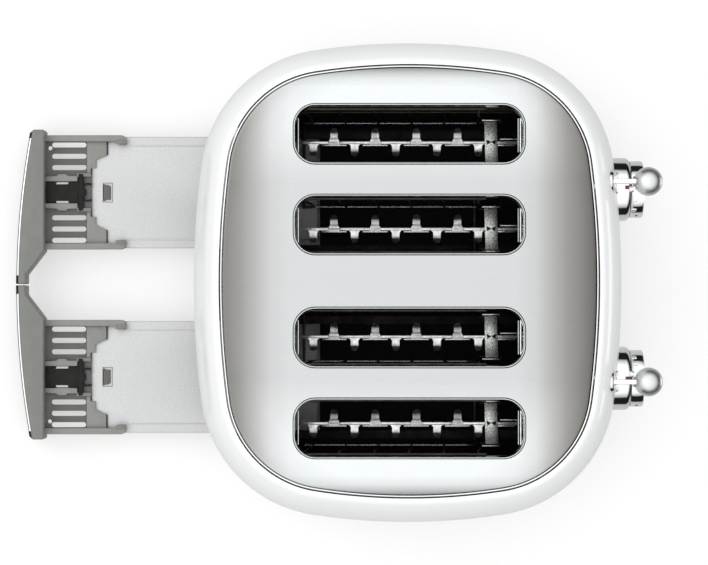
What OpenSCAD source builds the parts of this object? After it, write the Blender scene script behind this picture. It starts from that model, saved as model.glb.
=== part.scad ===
// Four-slot pop-up toaster: two independent toasting sides under one rounded body.
// Millimetres, +Z up. The levers face -Y and the crumb trays pull out towards +Y.
// The origin is the middle of the whole outline, trays out, on the surface it stands on.

/* [Body] */
// Width of the body across the slots, at its widest level
body_w = 321; // [300:1:345]
// Depth of the body from the levers to the trays, at its widest level
body_d = 287; // [276:1:320]
// Height of the body shell's top edge above the worktop
body_top = 196; // [190:1:225]
// Height at which the body is widest
wide_z = 100; // [80:1:130]
// Radius of the gentle curve of the body's two sides
side_r = 415; // [300:5:900]
// Radius of the gentle curve of the body's front and back
front_r = 607; // [400:5:1200]
// Radius of the body's upright corners
corner_r = 89; // [60:1:100]
// How far the body tucks in at its lower edge
tuck = 6; // [2:0.5:12]
// How far the shoulder comes in to the top panel
shoulder = 21; // [14:0.5:26]
// Thickness of the body shell
shell_wall = 2; // [1.2:0.1:3]

/* [Base] */
// Height of the four feet
foot_h = 8; // [4:0.5:12]
// Radius of a foot
foot_r = 12; // [8:0.5:16]
// Distance of the feet from the middle, across the body
foot_x = 108; // [90:1:118]
// Thickness of the base plate
base_t = 2; // [1.5:0.1:3]
// Height of the chrome band round the base
skirt_h = 26; // [24:0.5:30]
// Thickness of the chrome band
skirt_t = 2; // [1.5:0.1:3]
// Seam between two covers
seam = 0.5; // [0.3:0.1:1]

/* [Top] */
// Width of the polished bead between the body and the panel
trim_w = 2.2; // [1.5:0.1:4]
// Gap on each side of the bead
trim_gap = 0.8; // [0.4:0.1:1.5]
// Thickness of the top panel
panel_t = 1.5; // [1:0.1:3]
// How far the panel stands above the body's top edge
panel_rise = 2; // [0:0.5:4]

/* [Slots] */
// Clear width of a bread slot
slot_w = 36.5; // [32:0.5:38]
// Clear length of a bread slot
slot_l = 146.5; // [120:0.5:148]
// Corner radius of a bread slot
slot_r = 15; // [8:0.5:16]
// Wall of the rolled lip round a slot
lip_t = 1.5; // [1:0.1:2.5]
// Height of the lip above the panel
lip_rise = 1.5; // [1:0.1:3]
// Distance between the two slots of one side
slot_pitch = 58.2; // [57:0.1:62]
// Distance of each side's middle from the body's middle
side_x = 65.3; // [64:0.1:68]

/* [Chassis] */
// Thickness of the chassis sheet
sheet_t = 1.2; // [1:0.1:1.6]
// Space between a slot's end and a chassis plate
slot_end_gap = 5.75; // [4.5:0.25:8]
// Width of a chassis plate's foot flange
flange_w = 10; // [8:0.5:12]
// Radius of a screw's shank
screw_r = 1.6; // [1.2:0.1:2]
// Radius of a screw's head
head_r = 3.2; // [2.5:0.1:4]
// Radius of the cord gland's sleeve
gland_r = 7; // [6:0.5:9]
// Radius of the cord's way through the gland
gland_bore = 4; // [3:0.1:5]
// Distance of the cord gland from the middle, towards the levers
gland_y = 60; // [50:1:66]
// Height of a heater board
board_h = 142; // [120:1:146]
// Thickness of a heater board
board_t = 1; // [0.8:0.1:1.4]
// Distance of the outer heater boards from a slot's middle
board_gap = 25; // [23:0.5:27]
// Width of a heating ribbon
ribbon_w = 2.4; // [1.5:0.1:3]
// Number of heating ribbons on one face of a board
ribbons = 6; // [4:1:10]

/* [Lift] */
// How far the carriage travels down
lift_travel = 55; // [45:1:56]
// Height of the bread rails with the carriage up
rail_z = 115; // [112:1:120]
// Height of a bread rail's web
rail_h = 11; // [8:0.5:14]
// Number of tabs on one side of a rail; the other side has one fewer
tab_n = 5; // [4:1:5]
// Distance between two tabs
tab_pitch = 27.7; // [24:0.1:28]
// Length of a tab, out from the rail
tab_l = 9.5; // [7:0.5:10]
// Width of a tab
tab_w = 5; // [3:0.5:7]
// Radius of a guide rod
rod_r = 2.5; // [2:0.1:3]
// Running clearance on a rod or a shaft, on the radius
run_gap = 0.05; // [0.03:0.01:0.08]
// Height of the lever arm's middle with the carriage up
lever_z = 170; // [166:1:172]
// Thickness of the lever arm
arm_t = 4; // [3:0.5:4.5]
// Height of the lever arm
arm_h = 8; // [6:0.5:9]
// Radius of the ball on the lever
ball_r = 9.4; // [8:0.1:11]
// How far the ball's middle is in front of the body
ball_out = 12.6; // [12:0.1:16]
// Distance of an open guard from its slot's middle
guard_x = 17.5; // [17:0.1:18]
// Radius of a guard's wires
wire_r = 0.8; // [0.6:0.1:1]

/* [Controls] */
// Height of the dials' middles
dial_z = 62; // [60:1:66]
// Radius of a dial's bezel
bezel_r = 21.9; // [20:0.1:24]
// How far a dial bezel stands out of the body
bezel_out = 13.8; // [8:0.1:16]
// Radius of a dial knob
knob_r = 19.6; // [17:0.1:19.8]
// Thickness of a dial knob
knob_t = 9; // [7:0.5:12]
// Radius of a dial's shaft
shaft_r = 3; // [2.5:0.1:4]
// Height of the push buttons
button_z = 93; // [91:0.5:95]
// Radius of a push button
button_r = 4; // [3:0.1:4.2]
// Distance between two buttons
button_pitch = 13.2; // [11:0.1:14]
// How far a button stands out of the body
button_out = 1.6; // [1.2:0.1:3]
// Clearance round a button or another moving piece
move_gap = 0.4; // [0.3:0.05:0.6]

/* [Crumb trays] */
// How far the trays are pulled out
tray_out = 137.5; // [120:0.5:138]
// Width of a tray
tray_w = 79; // [70:0.5:80]
// Length of a tray's plate
tray_l = 155; // [150:1:158]
// Thickness of a tray's plate
tray_t = 0.8; // [0.6:0.1:1.2]
// Height of a tray's turned-up edge
tray_edge = 3; // [2:0.5:4]
// Height of a tray's plate above the base plate
tray_lift = 8.5; // [8:0.5:9]
// Width of the handle of one tray
handle_w = 109; // [106:0.5:109.5]
// Thickness of the handle at its outer end
handle_t = 11; // [9:0.5:13]
// Length of the handle's slotted floor
floor_l = 29; // [26:0.5:32]
// Width of a handle's arm
arm_w = 4.4; // [3.5:0.1:5]
// Length of a handle's arm
arm_l = 57; // [50:1:60]

/* [Hidden] */
$fn = 48;

white = "#f4f5f3";
steel = "#c9ced3";
chrome = "#dfe3e6";
zinc = "#b4b8b6";
grey = "#8e8f88";
dark = "#3a3a38";
mica = "#7d6c4c";

// ---- The body's outline ----
// Each quarter is three arcs: the side, the corner and the front.
side_c = [body_w / 2 - side_r, 0];
front_c = [0, body_d / 2 - front_r];
span = norm(front_c - side_c);
near = (pow(side_r - corner_r, 2) - pow(front_r - corner_r, 2) + span * span) / (2 * span);
rise = sqrt(pow(side_r - corner_r, 2) - near * near);
along = (front_c - side_c) / span;
corner_c = side_c + near * along + rise * [-along[1], along[0]] * (along[0] > 0 ? 1 : -1);
side_end = atan2(corner_c[1] - side_c[1], corner_c[0] - side_c[0]);
front_start = atan2(corner_c[1] - front_c[1], corner_c[0] - front_c[0]);
side_n = 6;
corner_n = 12;

// Point of the first quarter where the outline faces the angle a
function quarter(a) =
    a < side_end ? side_c + side_r * [cos(a), sin(a)] :
    a < front_start ? corner_c + corner_r * [cos(a), sin(a)] :
    front_c + front_r * [cos(a), sin(a)];
quarter_angles = concat(
    [for (i = [0:side_n - 1]) side_end * i / side_n],
    [for (i = [0:corner_n - 1]) side_end + (front_start - side_end) * i / corner_n],
    [for (i = [0:side_n]) front_start + (90 - front_start) * i / side_n]);
last = len(quarter_angles) - 1;
function inset_point(a, inset) = quarter(a) - inset * [cos(a), sin(a)];
function outline(inset) = concat(
    [for (i = [0:last - 1]) inset_point(quarter_angles[i], inset)],
    [for (i = [last:-1:1]) let (p = inset_point(quarter_angles[i], inset)) [-p[0], p[1]]],
    [for (i = [0:last - 1]) -inset_point(quarter_angles[i], inset)],
    [for (i = [last:-1:1]) let (p = inset_point(quarter_angles[i], inset)) [p[0], -p[1]]]);
// Front of the outline at the distance x from the middle
function outline_y(x, inset) = front_c[1] + sqrt(pow(front_r - inset, 2) - x * x);
function front_at(x) = outline_y(x, 0);

// ---- Levels and places that follow from the sizes above ----
cut = 1;                                   // overshoot of a cutting shape past a face
base_z = foot_h + base_t;                  // top of the base plate
skirt_top = foot_h + skirt_h;
shell_z = skirt_top;                       // lower edge of the body shell
trim_in = shoulder + trim_gap;             // inset of the bead's outer edge
panel_in = trim_in + trim_w + trim_gap;    // inset of the panel's edge
panel_z = body_top + panel_rise;           // top of the panel
plate_y = slot_l / 2 + slot_end_gap;       // inner face of a chassis plate
chassis_past = 14;                         // a chassis plate's reach past the outer boards
chassis_x = side_x + slot_pitch / 2 + board_gap + chassis_past;
chassis_top = body_top - 10;
board_z = 40;                              // lower edge of the heater boards
sides = [side_x, -side_x];                 // side 1 is at +X, side 2 at -X
slot_x = [side_x + slot_pitch / 2, side_x - slot_pitch / 2,
          -side_x + slot_pitch / 2, -side_x - slot_pitch / 2];
front_y = body_d / 2;                      // front of the body at its middle
dial_front = front_at(side_x) + bezel_out; // front face of a dial bezel
ball_y = front_y + ball_out;
knob_gap = 0.6;
knob_front = dial_front + knob_gap + knob_t;
tray_front = front_y - tuck + tray_out;    // front of the tray handles at their middle
// The middle of the outline, trays out, lies on the Y axis at 0
body_y = (max(knob_front, ball_y + ball_r) - tray_front) / 2;

carriage_y = plate_y + sheet_t + 5;        // back face of the carriage
sleeve_t = 2.5;                            // wall of the sleeves that slide on the rods
rod_y = carriage_y + sheet_t + rod_r + sleeve_t;
rod_x = 24;                                // distance of a rod from its side's middle
board_y = plate_y + 37;                    // back face of a control board
control_t = 1.6;                           // thickness of a control board
board_front = board_y + control_t;
keeper_z = rail_z - rail_h;                // underside of the carriage
arm_end = ball_y;                          // the arm runs into the ball's middle
lever_play = 2;                            // room past the lever arm at both ends of its slot
lever_low = lever_z - lift_travel - arm_h / 2 - lever_play;
lever_high = lever_z + arm_h / 2 + lever_play;
lever_slot_w = arm_t + lever_play;
lever_rim = 4;                             // width of a lever bezel's rim
lever_proud = 1.8;
tray_z = base_z + tray_lift;
tray_x = side_x;                           // middle of a tray
tray_back = 60;                            // inner end of a tray's plate, pulled out
arm_z = tray_z + tray_t;                   // underside of the handle's arms
handle_y = outline_y(handle_w, tuck) + tray_out - handle_t;  // inner edge of the handle
handle_z = base_z + move_gap;
handle_top = skirt_top - seam;
floor_y = handle_y - floor_l;

// A closed solid through one outline ring for each [inset, height] of a profile
module loft(profile) {
    rings = len(profile);
    count = len(outline(0));
    points = [for (p = profile) for (q = outline(p[0])) [q[0], q[1], p[1]]];
    faces = [for (r = [0:rings - 1]) for (i = [0:count - 1])
        let (next = (r + 1) % rings, j = (i + 1) % count)
        [r * count + i, next * count + i, next * count + j, r * count + j]];
    polyhedron(points, faces, convexity = 6);
}

// The body's profile: a tuck below the widest level and a rounded shoulder above it
tuck_n = 5;
shoulder_n = 9;
function wall_profile(extra) = concat(
    [for (i = [0:tuck_n - 1]) let (f = 1 - i / tuck_n)
        [tuck * f * f + extra, wide_z - (wide_z - shell_z) * f]],
    [for (i = [0:shoulder_n]) let (a = 90 * i / shoulder_n)
        [extra + (shoulder - extra) * (1 - cos(a)),
         wide_z + (body_top - wide_z - extra) * sin(a)]]);
function reversed(list) = [for (i = [len(list) - 1:-1:0]) list[i]];

// ---- Shared shapes ----
module in_body() {
    translate([0, body_y, 0]) children();
}

// A rounded rectangle with true arcs at its corners
module rounded(w, l, r) {
    square([w - 2 * r, l], center = true);
    square([w, l - 2 * r], center = true);
    for (x = [-1, 1])
        for (y = [-1, 1])
            translate([x * (w / 2 - r), y * (l / 2 - r)]) circle(r);
}

// A cylinder along Y, from y0 to y1, at the place x, z
module bar_y(r, y0, y1, x, z) {
    translate([x, y0, z]) rotate([-90, 0, 0]) cylinder(h = y1 - y0, r = r);
}

module box(x0, x1, y0, y1, z0, z1) {
    translate([x0, y0, z0]) cube([x1 - x0, y1 - y0, z1 - z0]);
}

// ---- Covers ----
module lever_hole(side, rim, y0, y1) {
    w = lever_slot_w + 2 * rim;
    translate([side, -y0, (lever_low + lever_high) / 2])
        rotate([90, 0, 0])
            linear_extrude(y1 - y0) rounded(w, lever_high - lever_low + 2 * rim, w / 2 - 0.01);
}

module body_shell() {
    color(white) in_body() difference() {
        loft(concat(wall_profile(0), reversed(wall_profile(shell_wall))));
        for (side = sides) {
            lever_hole(side, lever_rim, plate_y + 20, ball_y);
            bar_y(bezel_r, -dial_front - cut, -board_front, side, dial_z);
            for (i = [-1:1])
                bar_y(button_r + move_gap, -dial_front, -board_front,
                      side + i * button_pitch, button_z);
        }
    }
}

module top_panel() {
    color(steel) in_body() difference() {
        translate([0, 0, panel_z - panel_t])
            linear_extrude(panel_t) polygon(outline(panel_in));
        for (x = slot_x)
            translate([x, 0, panel_z - panel_t - cut])
                linear_extrude(panel_t + 2 * cut)
                    rounded(slot_w + 2 * lip_t, slot_l + 2 * lip_t, slot_r + lip_t);
    }
}

// Rolled lips, one in each of the panel's slots
lip_depth = 5;                             // how far a lip hangs below the panel's underside
module slot_lips() {
    color(steel) in_body()
        for (x = slot_x)
            translate([x, 0, panel_z - panel_t - lip_depth])
                linear_extrude(panel_t + lip_depth + lip_rise) difference() {
                    rounded(slot_w + 2 * lip_t, slot_l + 2 * lip_t, slot_r + lip_t);
                    rounded(slot_w, slot_l, slot_r);
                }
}

// Upright rim that carries the panel's edge on the chassis plates
module panel_frame() {
    color(zinc) in_body()
        translate([0, 0, chassis_top])
            linear_extrude(panel_z - panel_t - chassis_top) difference() {
                polygon(outline(panel_in));
                polygon(outline(panel_in + sheet_t));
            }
}

trim_rise = 1.1;                           // height of the bead's crown above the body's edge
trim_low = body_top - 6;                   // underside of the bead's flange
module trim_ring() {
    crown = [for (a = [180, 135, 90, 45, 0])
        [trim_in + trim_w * (1 + cos(a)) / 2, body_top + trim_rise * sin(a)]];
    color(chrome) in_body()
        loft(concat([[trim_in, trim_low]], crown,
                    [[trim_in + trim_w, trim_low + sheet_t], [panel_in, trim_low + sheet_t],
                     [panel_in, trim_low]]));
}

spigot_in = tuck + shell_wall + 0.3;       // the band's upper lip stands inside the shell
spigot_h = 4;
skirt_in = tuck + skirt_t + 1.5;           // inner face of the band
module base_skirt() {
    color(chrome) in_body() difference() {
        loft([[tuck + 1, foot_h], [tuck, foot_h + 3], [tuck, skirt_top - 2], [tuck + 1, skirt_top],
              [spigot_in, skirt_top], [spigot_in, skirt_top + spigot_h],
              [spigot_in + sheet_t, skirt_top + spigot_h], [skirt_in, skirt_top - 2],
              [skirt_in, foot_h]]);
        // Way through for the two tray handles
        box(-handle_w - 1, handle_w + 1, 0, body_d, foot_h - cut, skirt_top + spigot_h + cut);
    }
}

module base_plate() {
    color(dark) in_body() difference() {
        translate([0, 0, foot_h]) linear_extrude(base_t) polygon(outline(skirt_in));
        translate([0, -gland_y, foot_h - cut]) cylinder(h = base_t + 2 * cut, r = gland_r);
        for (p = screw_places)
            translate([p[0], p[1], foot_h - cut]) cylinder(h = base_t + 2 * cut, r = screw_r);
    }
}

foot_y = plate_y + sheet_t + flange_w / 2 + head_r + foot_r + 1;
module feet() {
    color(dark) in_body()
        for (x = [-foot_x, foot_x])
            for (y = [-foot_y, foot_y])
                translate([x, y, 0]) cylinder(h = foot_h, r1 = foot_r - 1, r2 = foot_r);
}

// ---- Cord gland and screws ----
screw_in = 16;                             // the outer screws, in from a chassis plate's ends
screw_x = chassis_x - screw_in;
screw_places = [for (x = [-screw_x, 0, screw_x]) for (y = [-1, 1])
    [x, y * (plate_y + sheet_t + flange_w / 2)]];

gland_low = foot_h - 4;                    // underside of the gland's lower flange
gland_top = base_z + 4;                    // upper end of its sleeve
gland_flange = 3;
module cord_gland() {
    color(dark) in_body() translate([0, -gland_y, 0]) difference() {
        union() {
            translate([0, 0, gland_low + cut]) cylinder(h = gland_top - gland_low - cut, r = gland_r);
            translate([0, 0, gland_low])
                cylinder(h = foot_h - gland_low, r = gland_r + gland_flange);
            translate([0, 0, base_z]) cylinder(h = gland_flange, r = gland_r + gland_flange);
        }
        cylinder(h = gland_top + cut, r = gland_bore);
    }
}

module screws() {
    color(steel) in_body()
        for (p = screw_places)
            translate([p[0], p[1], 0]) {
                translate([0, 0, foot_h - 2]) cylinder(h = 2, r = head_r);
                translate([0, 0, foot_h - 1]) cylinder(h = base_t + sheet_t + 4, r = screw_r);
            }
}

// ---- Chassis ----
// One end plate with a foot flange; dir is -1 at the levers and 1 at the trays
module chassis_plate(dir) {
    y0 = dir > 0 ? plate_y : -plate_y - sheet_t;
    f0 = dir > 0 ? plate_y : -plate_y - sheet_t - flange_w;
    box(-chassis_x, chassis_x, y0, y0 + sheet_t, base_z, chassis_top);
    difference() {
        box(-chassis_x, chassis_x, f0, f0 + flange_w + sheet_t, base_z, base_z + sheet_t);
        for (p = screw_places)
            translate([p[0], p[1], 0]) cylinder(h = base_z + 10, r = screw_r);
    }
}

rail_t = 1.2;                              // thickness of a rail's web
rail_flange = 3;                           // width of its upper edge
rail_end = 8;                              // space between its back end and the rear plate

module chassis_front() {
    color(zinc) in_body() {
        difference() {
            chassis_plate(-1);
            // Upright slots in which the bread rails travel
            for (x = slot_x)
                box(x - rail_flange / 2 - move_gap, x + rail_flange / 2 + move_gap,
                    -plate_y - sheet_t - cut, -plate_y + cut,
                    rail_z - rail_h - lift_travel - 2, rail_z + 2);
            // Room round the electromagnets' feet
            for (side = sides)
                box(side - magnet_room, side + magnet_room, -rod_y - magnet_room,
                    -plate_y - sheet_t - 0.01, base_z - cut, base_z + sheet_t + cut);
        }
        // Shelf that holds the upper ends of the guide rods
        for (side = sides)
            box(side - rod_x - shelf_edge, side + rod_x + shelf_edge, -rod_y - shelf_edge,
                -plate_y - sheet_t, chassis_top - sheet_t, chassis_top);
    }
}
magnet_room = 16;
shelf_edge = 5;                            // the shelf's edge past the rods' middles

module chassis_rear() {
    color(zinc) in_body() difference() {
        chassis_plate(1);
        // Way through for the crumb trays and their guides
        for (side = sides)
            box(side - tray_w / 2 - guide_room, side + tray_w / 2 + guide_room, plate_y - cut,
                plate_y + sheet_t + flange_w + cut, base_z - cut, skirt_top);
    }
}
guide_room = 7;                            // room for a guide beside a tray

guide_end = handle_y - tray_out - 1;
guide_wall = 2.4;
ledge_w = 2;                               // support under each edge of a tray's plate
module tray_guides() {
    color(zinc) in_body()
        for (side = sides)
            for (dir = [-1, 1]) {
                x_in = side + dir * (tray_w / 2 - ledge_w);
                x_wall = side + dir * (tray_w / 2 + 1 + move_gap);
                x_out = x_wall + dir * guide_wall;
                y0 = -plate_y;
                box(min(x_in, x_out), max(x_in, x_out), y0, guide_end, base_z, tray_z - move_gap);
                box(min(x_wall, x_out), max(x_wall, x_out), y0, guide_end,
                    tray_z - move_gap, arm_z + guide_arm + move_gap);
                box(min(x_in, x_out), max(x_in, x_out), y0, guide_end,
                    arm_z + guide_arm + move_gap, arm_z + guide_arm + move_gap + 1.2);
            }
}
guide_arm = 5;                             // height of a handle's arm

// ---- Heaters ----
module heater_board(x) {
    box(x - board_t / 2, x + board_t / 2, -plate_y, plate_y, board_z, board_z + board_h);
}

module heater_boards_inner() {
    color(mica) in_body()
        for (dir = [-1, 1]) heater_board(dir * (side_x - slot_pitch / 2 - board_gap));
}

module heater_boards_middle() {
    color(mica) in_body() for (side = sides) heater_board(side);
}

module heater_boards_outer() {
    color(mica) in_body()
        for (dir = [-1, 1]) heater_board(dir * (side_x + slot_pitch / 2 + board_gap));
}

// Ribbons lie along the boards' faces that look at the bread
ribbon_t = 0.3;
module ribbon_face(x, dir) {
    gap = board_h / (ribbons + 1);
    x0 = x + (dir > 0 ? board_t / 2 : -board_t / 2 - ribbon_t);
    for (i = [1:ribbons])
        box(x0, x0 + ribbon_t, -plate_y + 4, plate_y - 4,
            board_z + i * gap - ribbon_w / 2, board_z + i * gap + ribbon_w / 2);
}

module heating_wires() {
    color("#a5593a") in_body()
        for (dir = [-1, 1]) {
            ribbon_face(dir * (side_x - slot_pitch / 2 - board_gap), dir);
            ribbon_face(dir * side_x, dir);
            ribbon_face(dir * side_x, -dir);
            ribbon_face(dir * (side_x + slot_pitch / 2 + board_gap), -dir);
        }
}

// ---- Lift ----
module guide_rods() {
    color(steel) in_body()
        for (side = sides)
            for (x = [-rod_x, rod_x])
                translate([side + x, -rod_y, base_z + sheet_t])
                    cylinder(h = chassis_top - 2 * sheet_t - base_z, r = rod_r);
}

magnet_top = keeper_z - lift_travel - 0.6;
magnet_y = rod_y + 2;
magnet_foot = [24, 12, 3];
core_r = 4;
winding_r = 9;
module electromagnets() {
    color("#8a4b2c") in_body()
        for (side = sides)
            translate([side, -magnet_y, base_z]) {
                cylinder(h = magnet_top - base_z, r = core_r);
                translate([0, 0, magnet_foot[2]])
                    cylinder(h = magnet_top - base_z - 2 * magnet_foot[2], r = winding_r);
                translate([-magnet_foot[0] / 2, -magnet_foot[1] / 2, 0]) cube(magnet_foot);
            }
}

// A rail with tabs on both sides; side n has tab_n tabs, the other one fewer
module bread_rail(i) {
    x = slot_x[i - 1];
    y_back = plate_y - rail_end;
    color(zinc) in_body() {
        box(x - rail_t / 2, x + rail_t / 2, -carriage_y, y_back, rail_z - rail_h, rail_z);
        box(x - rail_flange / 2, x + rail_flange / 2, -plate_y + 4, y_back, rail_z - 1, rail_z);
        for (k = [0:tab_n - 1])
            rail_tab(x, -1, (k - (tab_n - 1) / 2) * tab_pitch + tab_shift);
        for (k = [0:tab_n - 2])
            rail_tab(x, 1, (k - (tab_n - 2) / 2) * tab_pitch + tab_shift);
    }
}
tab_shift = 7.6;                           // the tabs' middle, back from the slot's middle
tab_tip = 3;                               // length of a tab's turned-up tip

module rail_tab(x, dir, y) {
    reach = x + dir * tab_l;
    box(min(x, reach), max(x, reach), y - tab_w / 2, y + tab_w / 2, rail_z - 1, rail_z);
    box(min(reach, reach + dir * 1), max(reach, reach + dir * 1), y - tab_w / 2, y + tab_w / 2,
        rail_z - 1, rail_z + tab_tip);
}

strip_y = 56.5;                            // distance of the cross strips from the middle
strip_w = 30;                              // across the slot
strip_l = 8.5;                             // along it
module rail_strips(s) {
    color(zinc) in_body()
        for (i = [2 * s - 1, 2 * s])
            box(slot_x[i - 1] - strip_w / 2, slot_x[i - 1] + strip_w / 2,
                -strip_y - strip_l / 2, -strip_y + strip_l / 2, rail_z, rail_z + 1);
}

// Pressed carriage: crossbar, two sleeves on the rods, riser, lever arm and keeper
riser_w = 20;
keeper = [24, 9, 2];                       // width, reach past the magnet's middle, thickness
module lift_frame(s) {
    side = sides[s - 1];
    half = slot_pitch / 2 + 6;
    color(zinc) in_body() difference() {
        union() {
            box(side - half, side + half, -carriage_y - sheet_t, -carriage_y, keeper_z, rail_z + 2);
            box(side - riser_w / 2, side + riser_w / 2, -carriage_y - sheet_t, -carriage_y,
                rail_z, lever_z + arm_h / 2);
            box(side - arm_t / 2, side + arm_t / 2, -arm_end, -carriage_y,
                lever_z - arm_h / 2, lever_z + arm_h / 2);
            box(side - keeper[0] / 2, side + keeper[0] / 2, -magnet_y - keeper[1], -carriage_y,
                keeper_z, keeper_z + keeper[2]);
            for (x = [-rod_x, rod_x])
                translate([side + x, -rod_y, keeper_z])
                    cylinder(h = rail_h + 2, r = rod_r + sleeve_t);
        }
        for (x = [-rod_x, rod_x])
            translate([side + x, -rod_y, keeper_z - cut])
                cylinder(h = rail_h + 2 + 2 * cut, r = rod_r + run_gap);
    }
}

module lever_ball(s) {
    side = sides[s - 1];
    color(chrome) in_body() difference() {
        translate([side, -ball_y, lever_z]) sphere(r = ball_r, $fn = 64);
        box(side - arm_t / 2, side + arm_t / 2, -arm_end, -ball_y + ball_r + cut,
            lever_z - arm_h / 2, lever_z + arm_h / 2);
    }
}

// Push springs on the outer guide rods, between the chassis flange and the carriage
spring_r = 4.2;
spring_wire = 0.8;
module lift_spring(s) {
    side = sides[s - 1];
    low = base_z + sheet_t;
    color(steel) in_body() translate([side + sign(side) * rod_x, -rod_y, low]) difference() {
        cylinder(h = keeper_z - low, r = spring_r);
        translate([0, 0, -cut]) cylinder(h = keeper_z - low + 2 * cut, r = spring_r - spring_wire);
    }
}

// ---- Bread guards ----
// One set is the two grids that face the same way on one side, joined by a bar
guard_y0 = -46;
guard_y1 = 68;
guard_z0 = 52;
guard_z1 = 180;
guard_wires = 6;
guard_bar_z = 31;
guard_bar_h = 5;
upright_t = 1.2;                           // sheet that joins a grid to its bar
weld_gap = 0.05;                           // the grids and their bar stay separate pieces
// The odd sets have their bar at the back of the slots, the even sets at the front
function guard_bar_y(g) = g % 2 == 1 ? guard_y1 + 2 : guard_y0 - 4;
module guard_grid(x, bar_y) {
    pitch = (guard_y1 - guard_y0) / (guard_wires - 1);
    for (i = [0:guard_wires - 1])
        translate([x, guard_y0 + i * pitch, guard_z0]) cylinder(h = guard_z1 - guard_z0, r = wire_r);
    for (z = [guard_z0, guard_z1])
        bar_y(wire_r + 0.2, guard_y0 - 2.5 * wire_r, guard_y1 + 2.5 * wire_r, x, z);
    box(x - upright_t / 2, x + upright_t / 2, min(bar_y, guard_y1 - 3), max(bar_y + 2, guard_y0 + 3),
        guard_bar_z + guard_bar_h + weld_gap, guard_z0 + 3);
}

// Set 1 and 2 are on side 1, set 3 and 4 on side 2; odd sets move towards -X
module bread_guards(g) {
    s = g > 2 ? 1 : 0;
    dir = g % 2 == 1 ? 1 : -1;
    bar_y = guard_bar_y(g);
    xs = [for (i = [0, 1]) slot_x[2 * s + i] + dir * guard_x];
    color("#5b5a55") in_body() {
        for (x = xs) guard_grid(x, bar_y);
        box(min(xs) - upright_t / 2, max(xs) + upright_t / 2, bar_y, bar_y + 2,
            guard_bar_z, guard_bar_z + guard_bar_h);
    }
}

// ---- Controls ----
module control_boards() {
    color("#2f5a3c") in_body()
        for (side = sides) {
            difference() {
                box(side - control_w / 2, side + control_w / 2, -board_front, -board_y,
                    board_low, board_high);
                bar_y(shaft_r + 1, -board_front - cut, -board_y + cut, side, dial_z);
            }
            // Brackets down to the base plate
            for (x = [-bracket_x, bracket_x])
                box(side + x - bracket_t, side + x + bracket_t, -board_y, -board_y + bracket_t,
                    base_z, board_low + 12);
            for (i = [-1:1])
                box(side + i * button_pitch - switch_t, side + i * button_pitch + switch_t,
                    -board_front - switch_t, -board_front, button_z - switch_t, button_z + switch_t);
        }
}
control_w = 72;                            // width of a control board
board_low = 34;
board_high = 102;
bracket_x = 30;
bracket_t = 3;
switch_t = 3;                              // depth and half the width of a button's switch
pot_t = 7;                                 // depth of a dial's potentiometer
pot_r = 8;

module dial_pots() {
    color("#2b2b2b") in_body()
        for (side = sides)
            difference() {
                bar_y(pot_r, -board_front - pot_t, -board_front, side, dial_z);
                bar_y(shaft_r + run_gap, -board_front - pot_t - cut, -board_front + cut,
                      side, dial_z);
            }
}

dish = 2;                                  // depth of the bezel's dish, and its rim's width
web_t = 3;                                 // wall behind the dish, round the shaft
module dial_bezel(s) {
    side = sides[s - 1];
    back = board_front + pot_t + 1;
    color(chrome) in_body() difference() {
        bar_y(bezel_r, -dial_front, -back, side, dial_z);
        bar_y(bezel_r - dish, -dial_front - cut, -dial_front + dish, side, dial_z);
        bar_y(bezel_r - dish, -dial_front + dish + web_t, -back + cut, side, dial_z);
        bar_y(shaft_r + run_gap, -dial_front, -back, side, dial_z);
        marker(side);
    }
}

// Coloured index set into the top of a bezel
module marker(side) {
    box(side - 1, side + 1, -dial_front, -dial_front + 3.5,
        dial_z + bezel_r - 1, dial_z + bezel_r + 0.4);
}

module dial_markers() {
    color("#b3121d") in_body()
        for (side = sides) marker(side);
}

module dial(s) {
    side = sides[s - 1];
    color(chrome) in_body() {
        bar_y(knob_r, -knob_front, -dial_front - knob_gap, side, dial_z);
        bar_y(shaft_r, -dial_front - knob_gap - cut, -board_front, side, dial_z);
    }
}

// A lever bezel's face follows the body's upright curve
function wall_inset(z) = z < wide_z ?
    tuck * pow((wide_z - z) / (wide_z - shell_z), 2) :
    shoulder * (1 - sqrt(1 - pow((z - wide_z) / (body_top - wide_z), 2)));
module lever_bezel(s) {
    side = sides[s - 1];
    w = lever_slot_w + 2 * lever_rim;
    z0 = lever_low - lever_rim;
    z1 = lever_high + lever_rim;
    steps = 12;
    face = [for (i = [0:steps]) let (z = z0 + (z1 - z0) * i / steps)
        [front_at(side_x) - wall_inset(z) + lever_proud, z]];
    back = front_at(side_x) - wall_inset(z1) - 6;
    color(chrome) in_body() difference() {
        intersection() {
            translate([side - w / 2, 0, 0]) rotate([90, 0, 90])
                linear_extrude(w) polygon(concat([for (p = face) [-p[0], p[1]]],
                                                 [[-back, z1], [-back, z0]]));
            lever_hole(side, lever_rim, back - cut, ball_y);
        }
        lever_hole(side, 0, back - 2 * cut, ball_y + cut);
    }
}

button_travel = 1.2;
stem_r = 1.5;
module button(i) {
    s = i > 3 ? 1 : 0;
    x = sides[s] + (i - 3 * s - 2) * button_pitch;
    color(chrome) in_body() {
        bar_y(button_r, -front_at(side_x + button_pitch) - button_out, -board_front - 8, x, button_z);
        bar_y(stem_r, -board_front - 8 - cut, -board_front - switch_t - button_travel - 0.2,
              x, button_z);
    }
}

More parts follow.
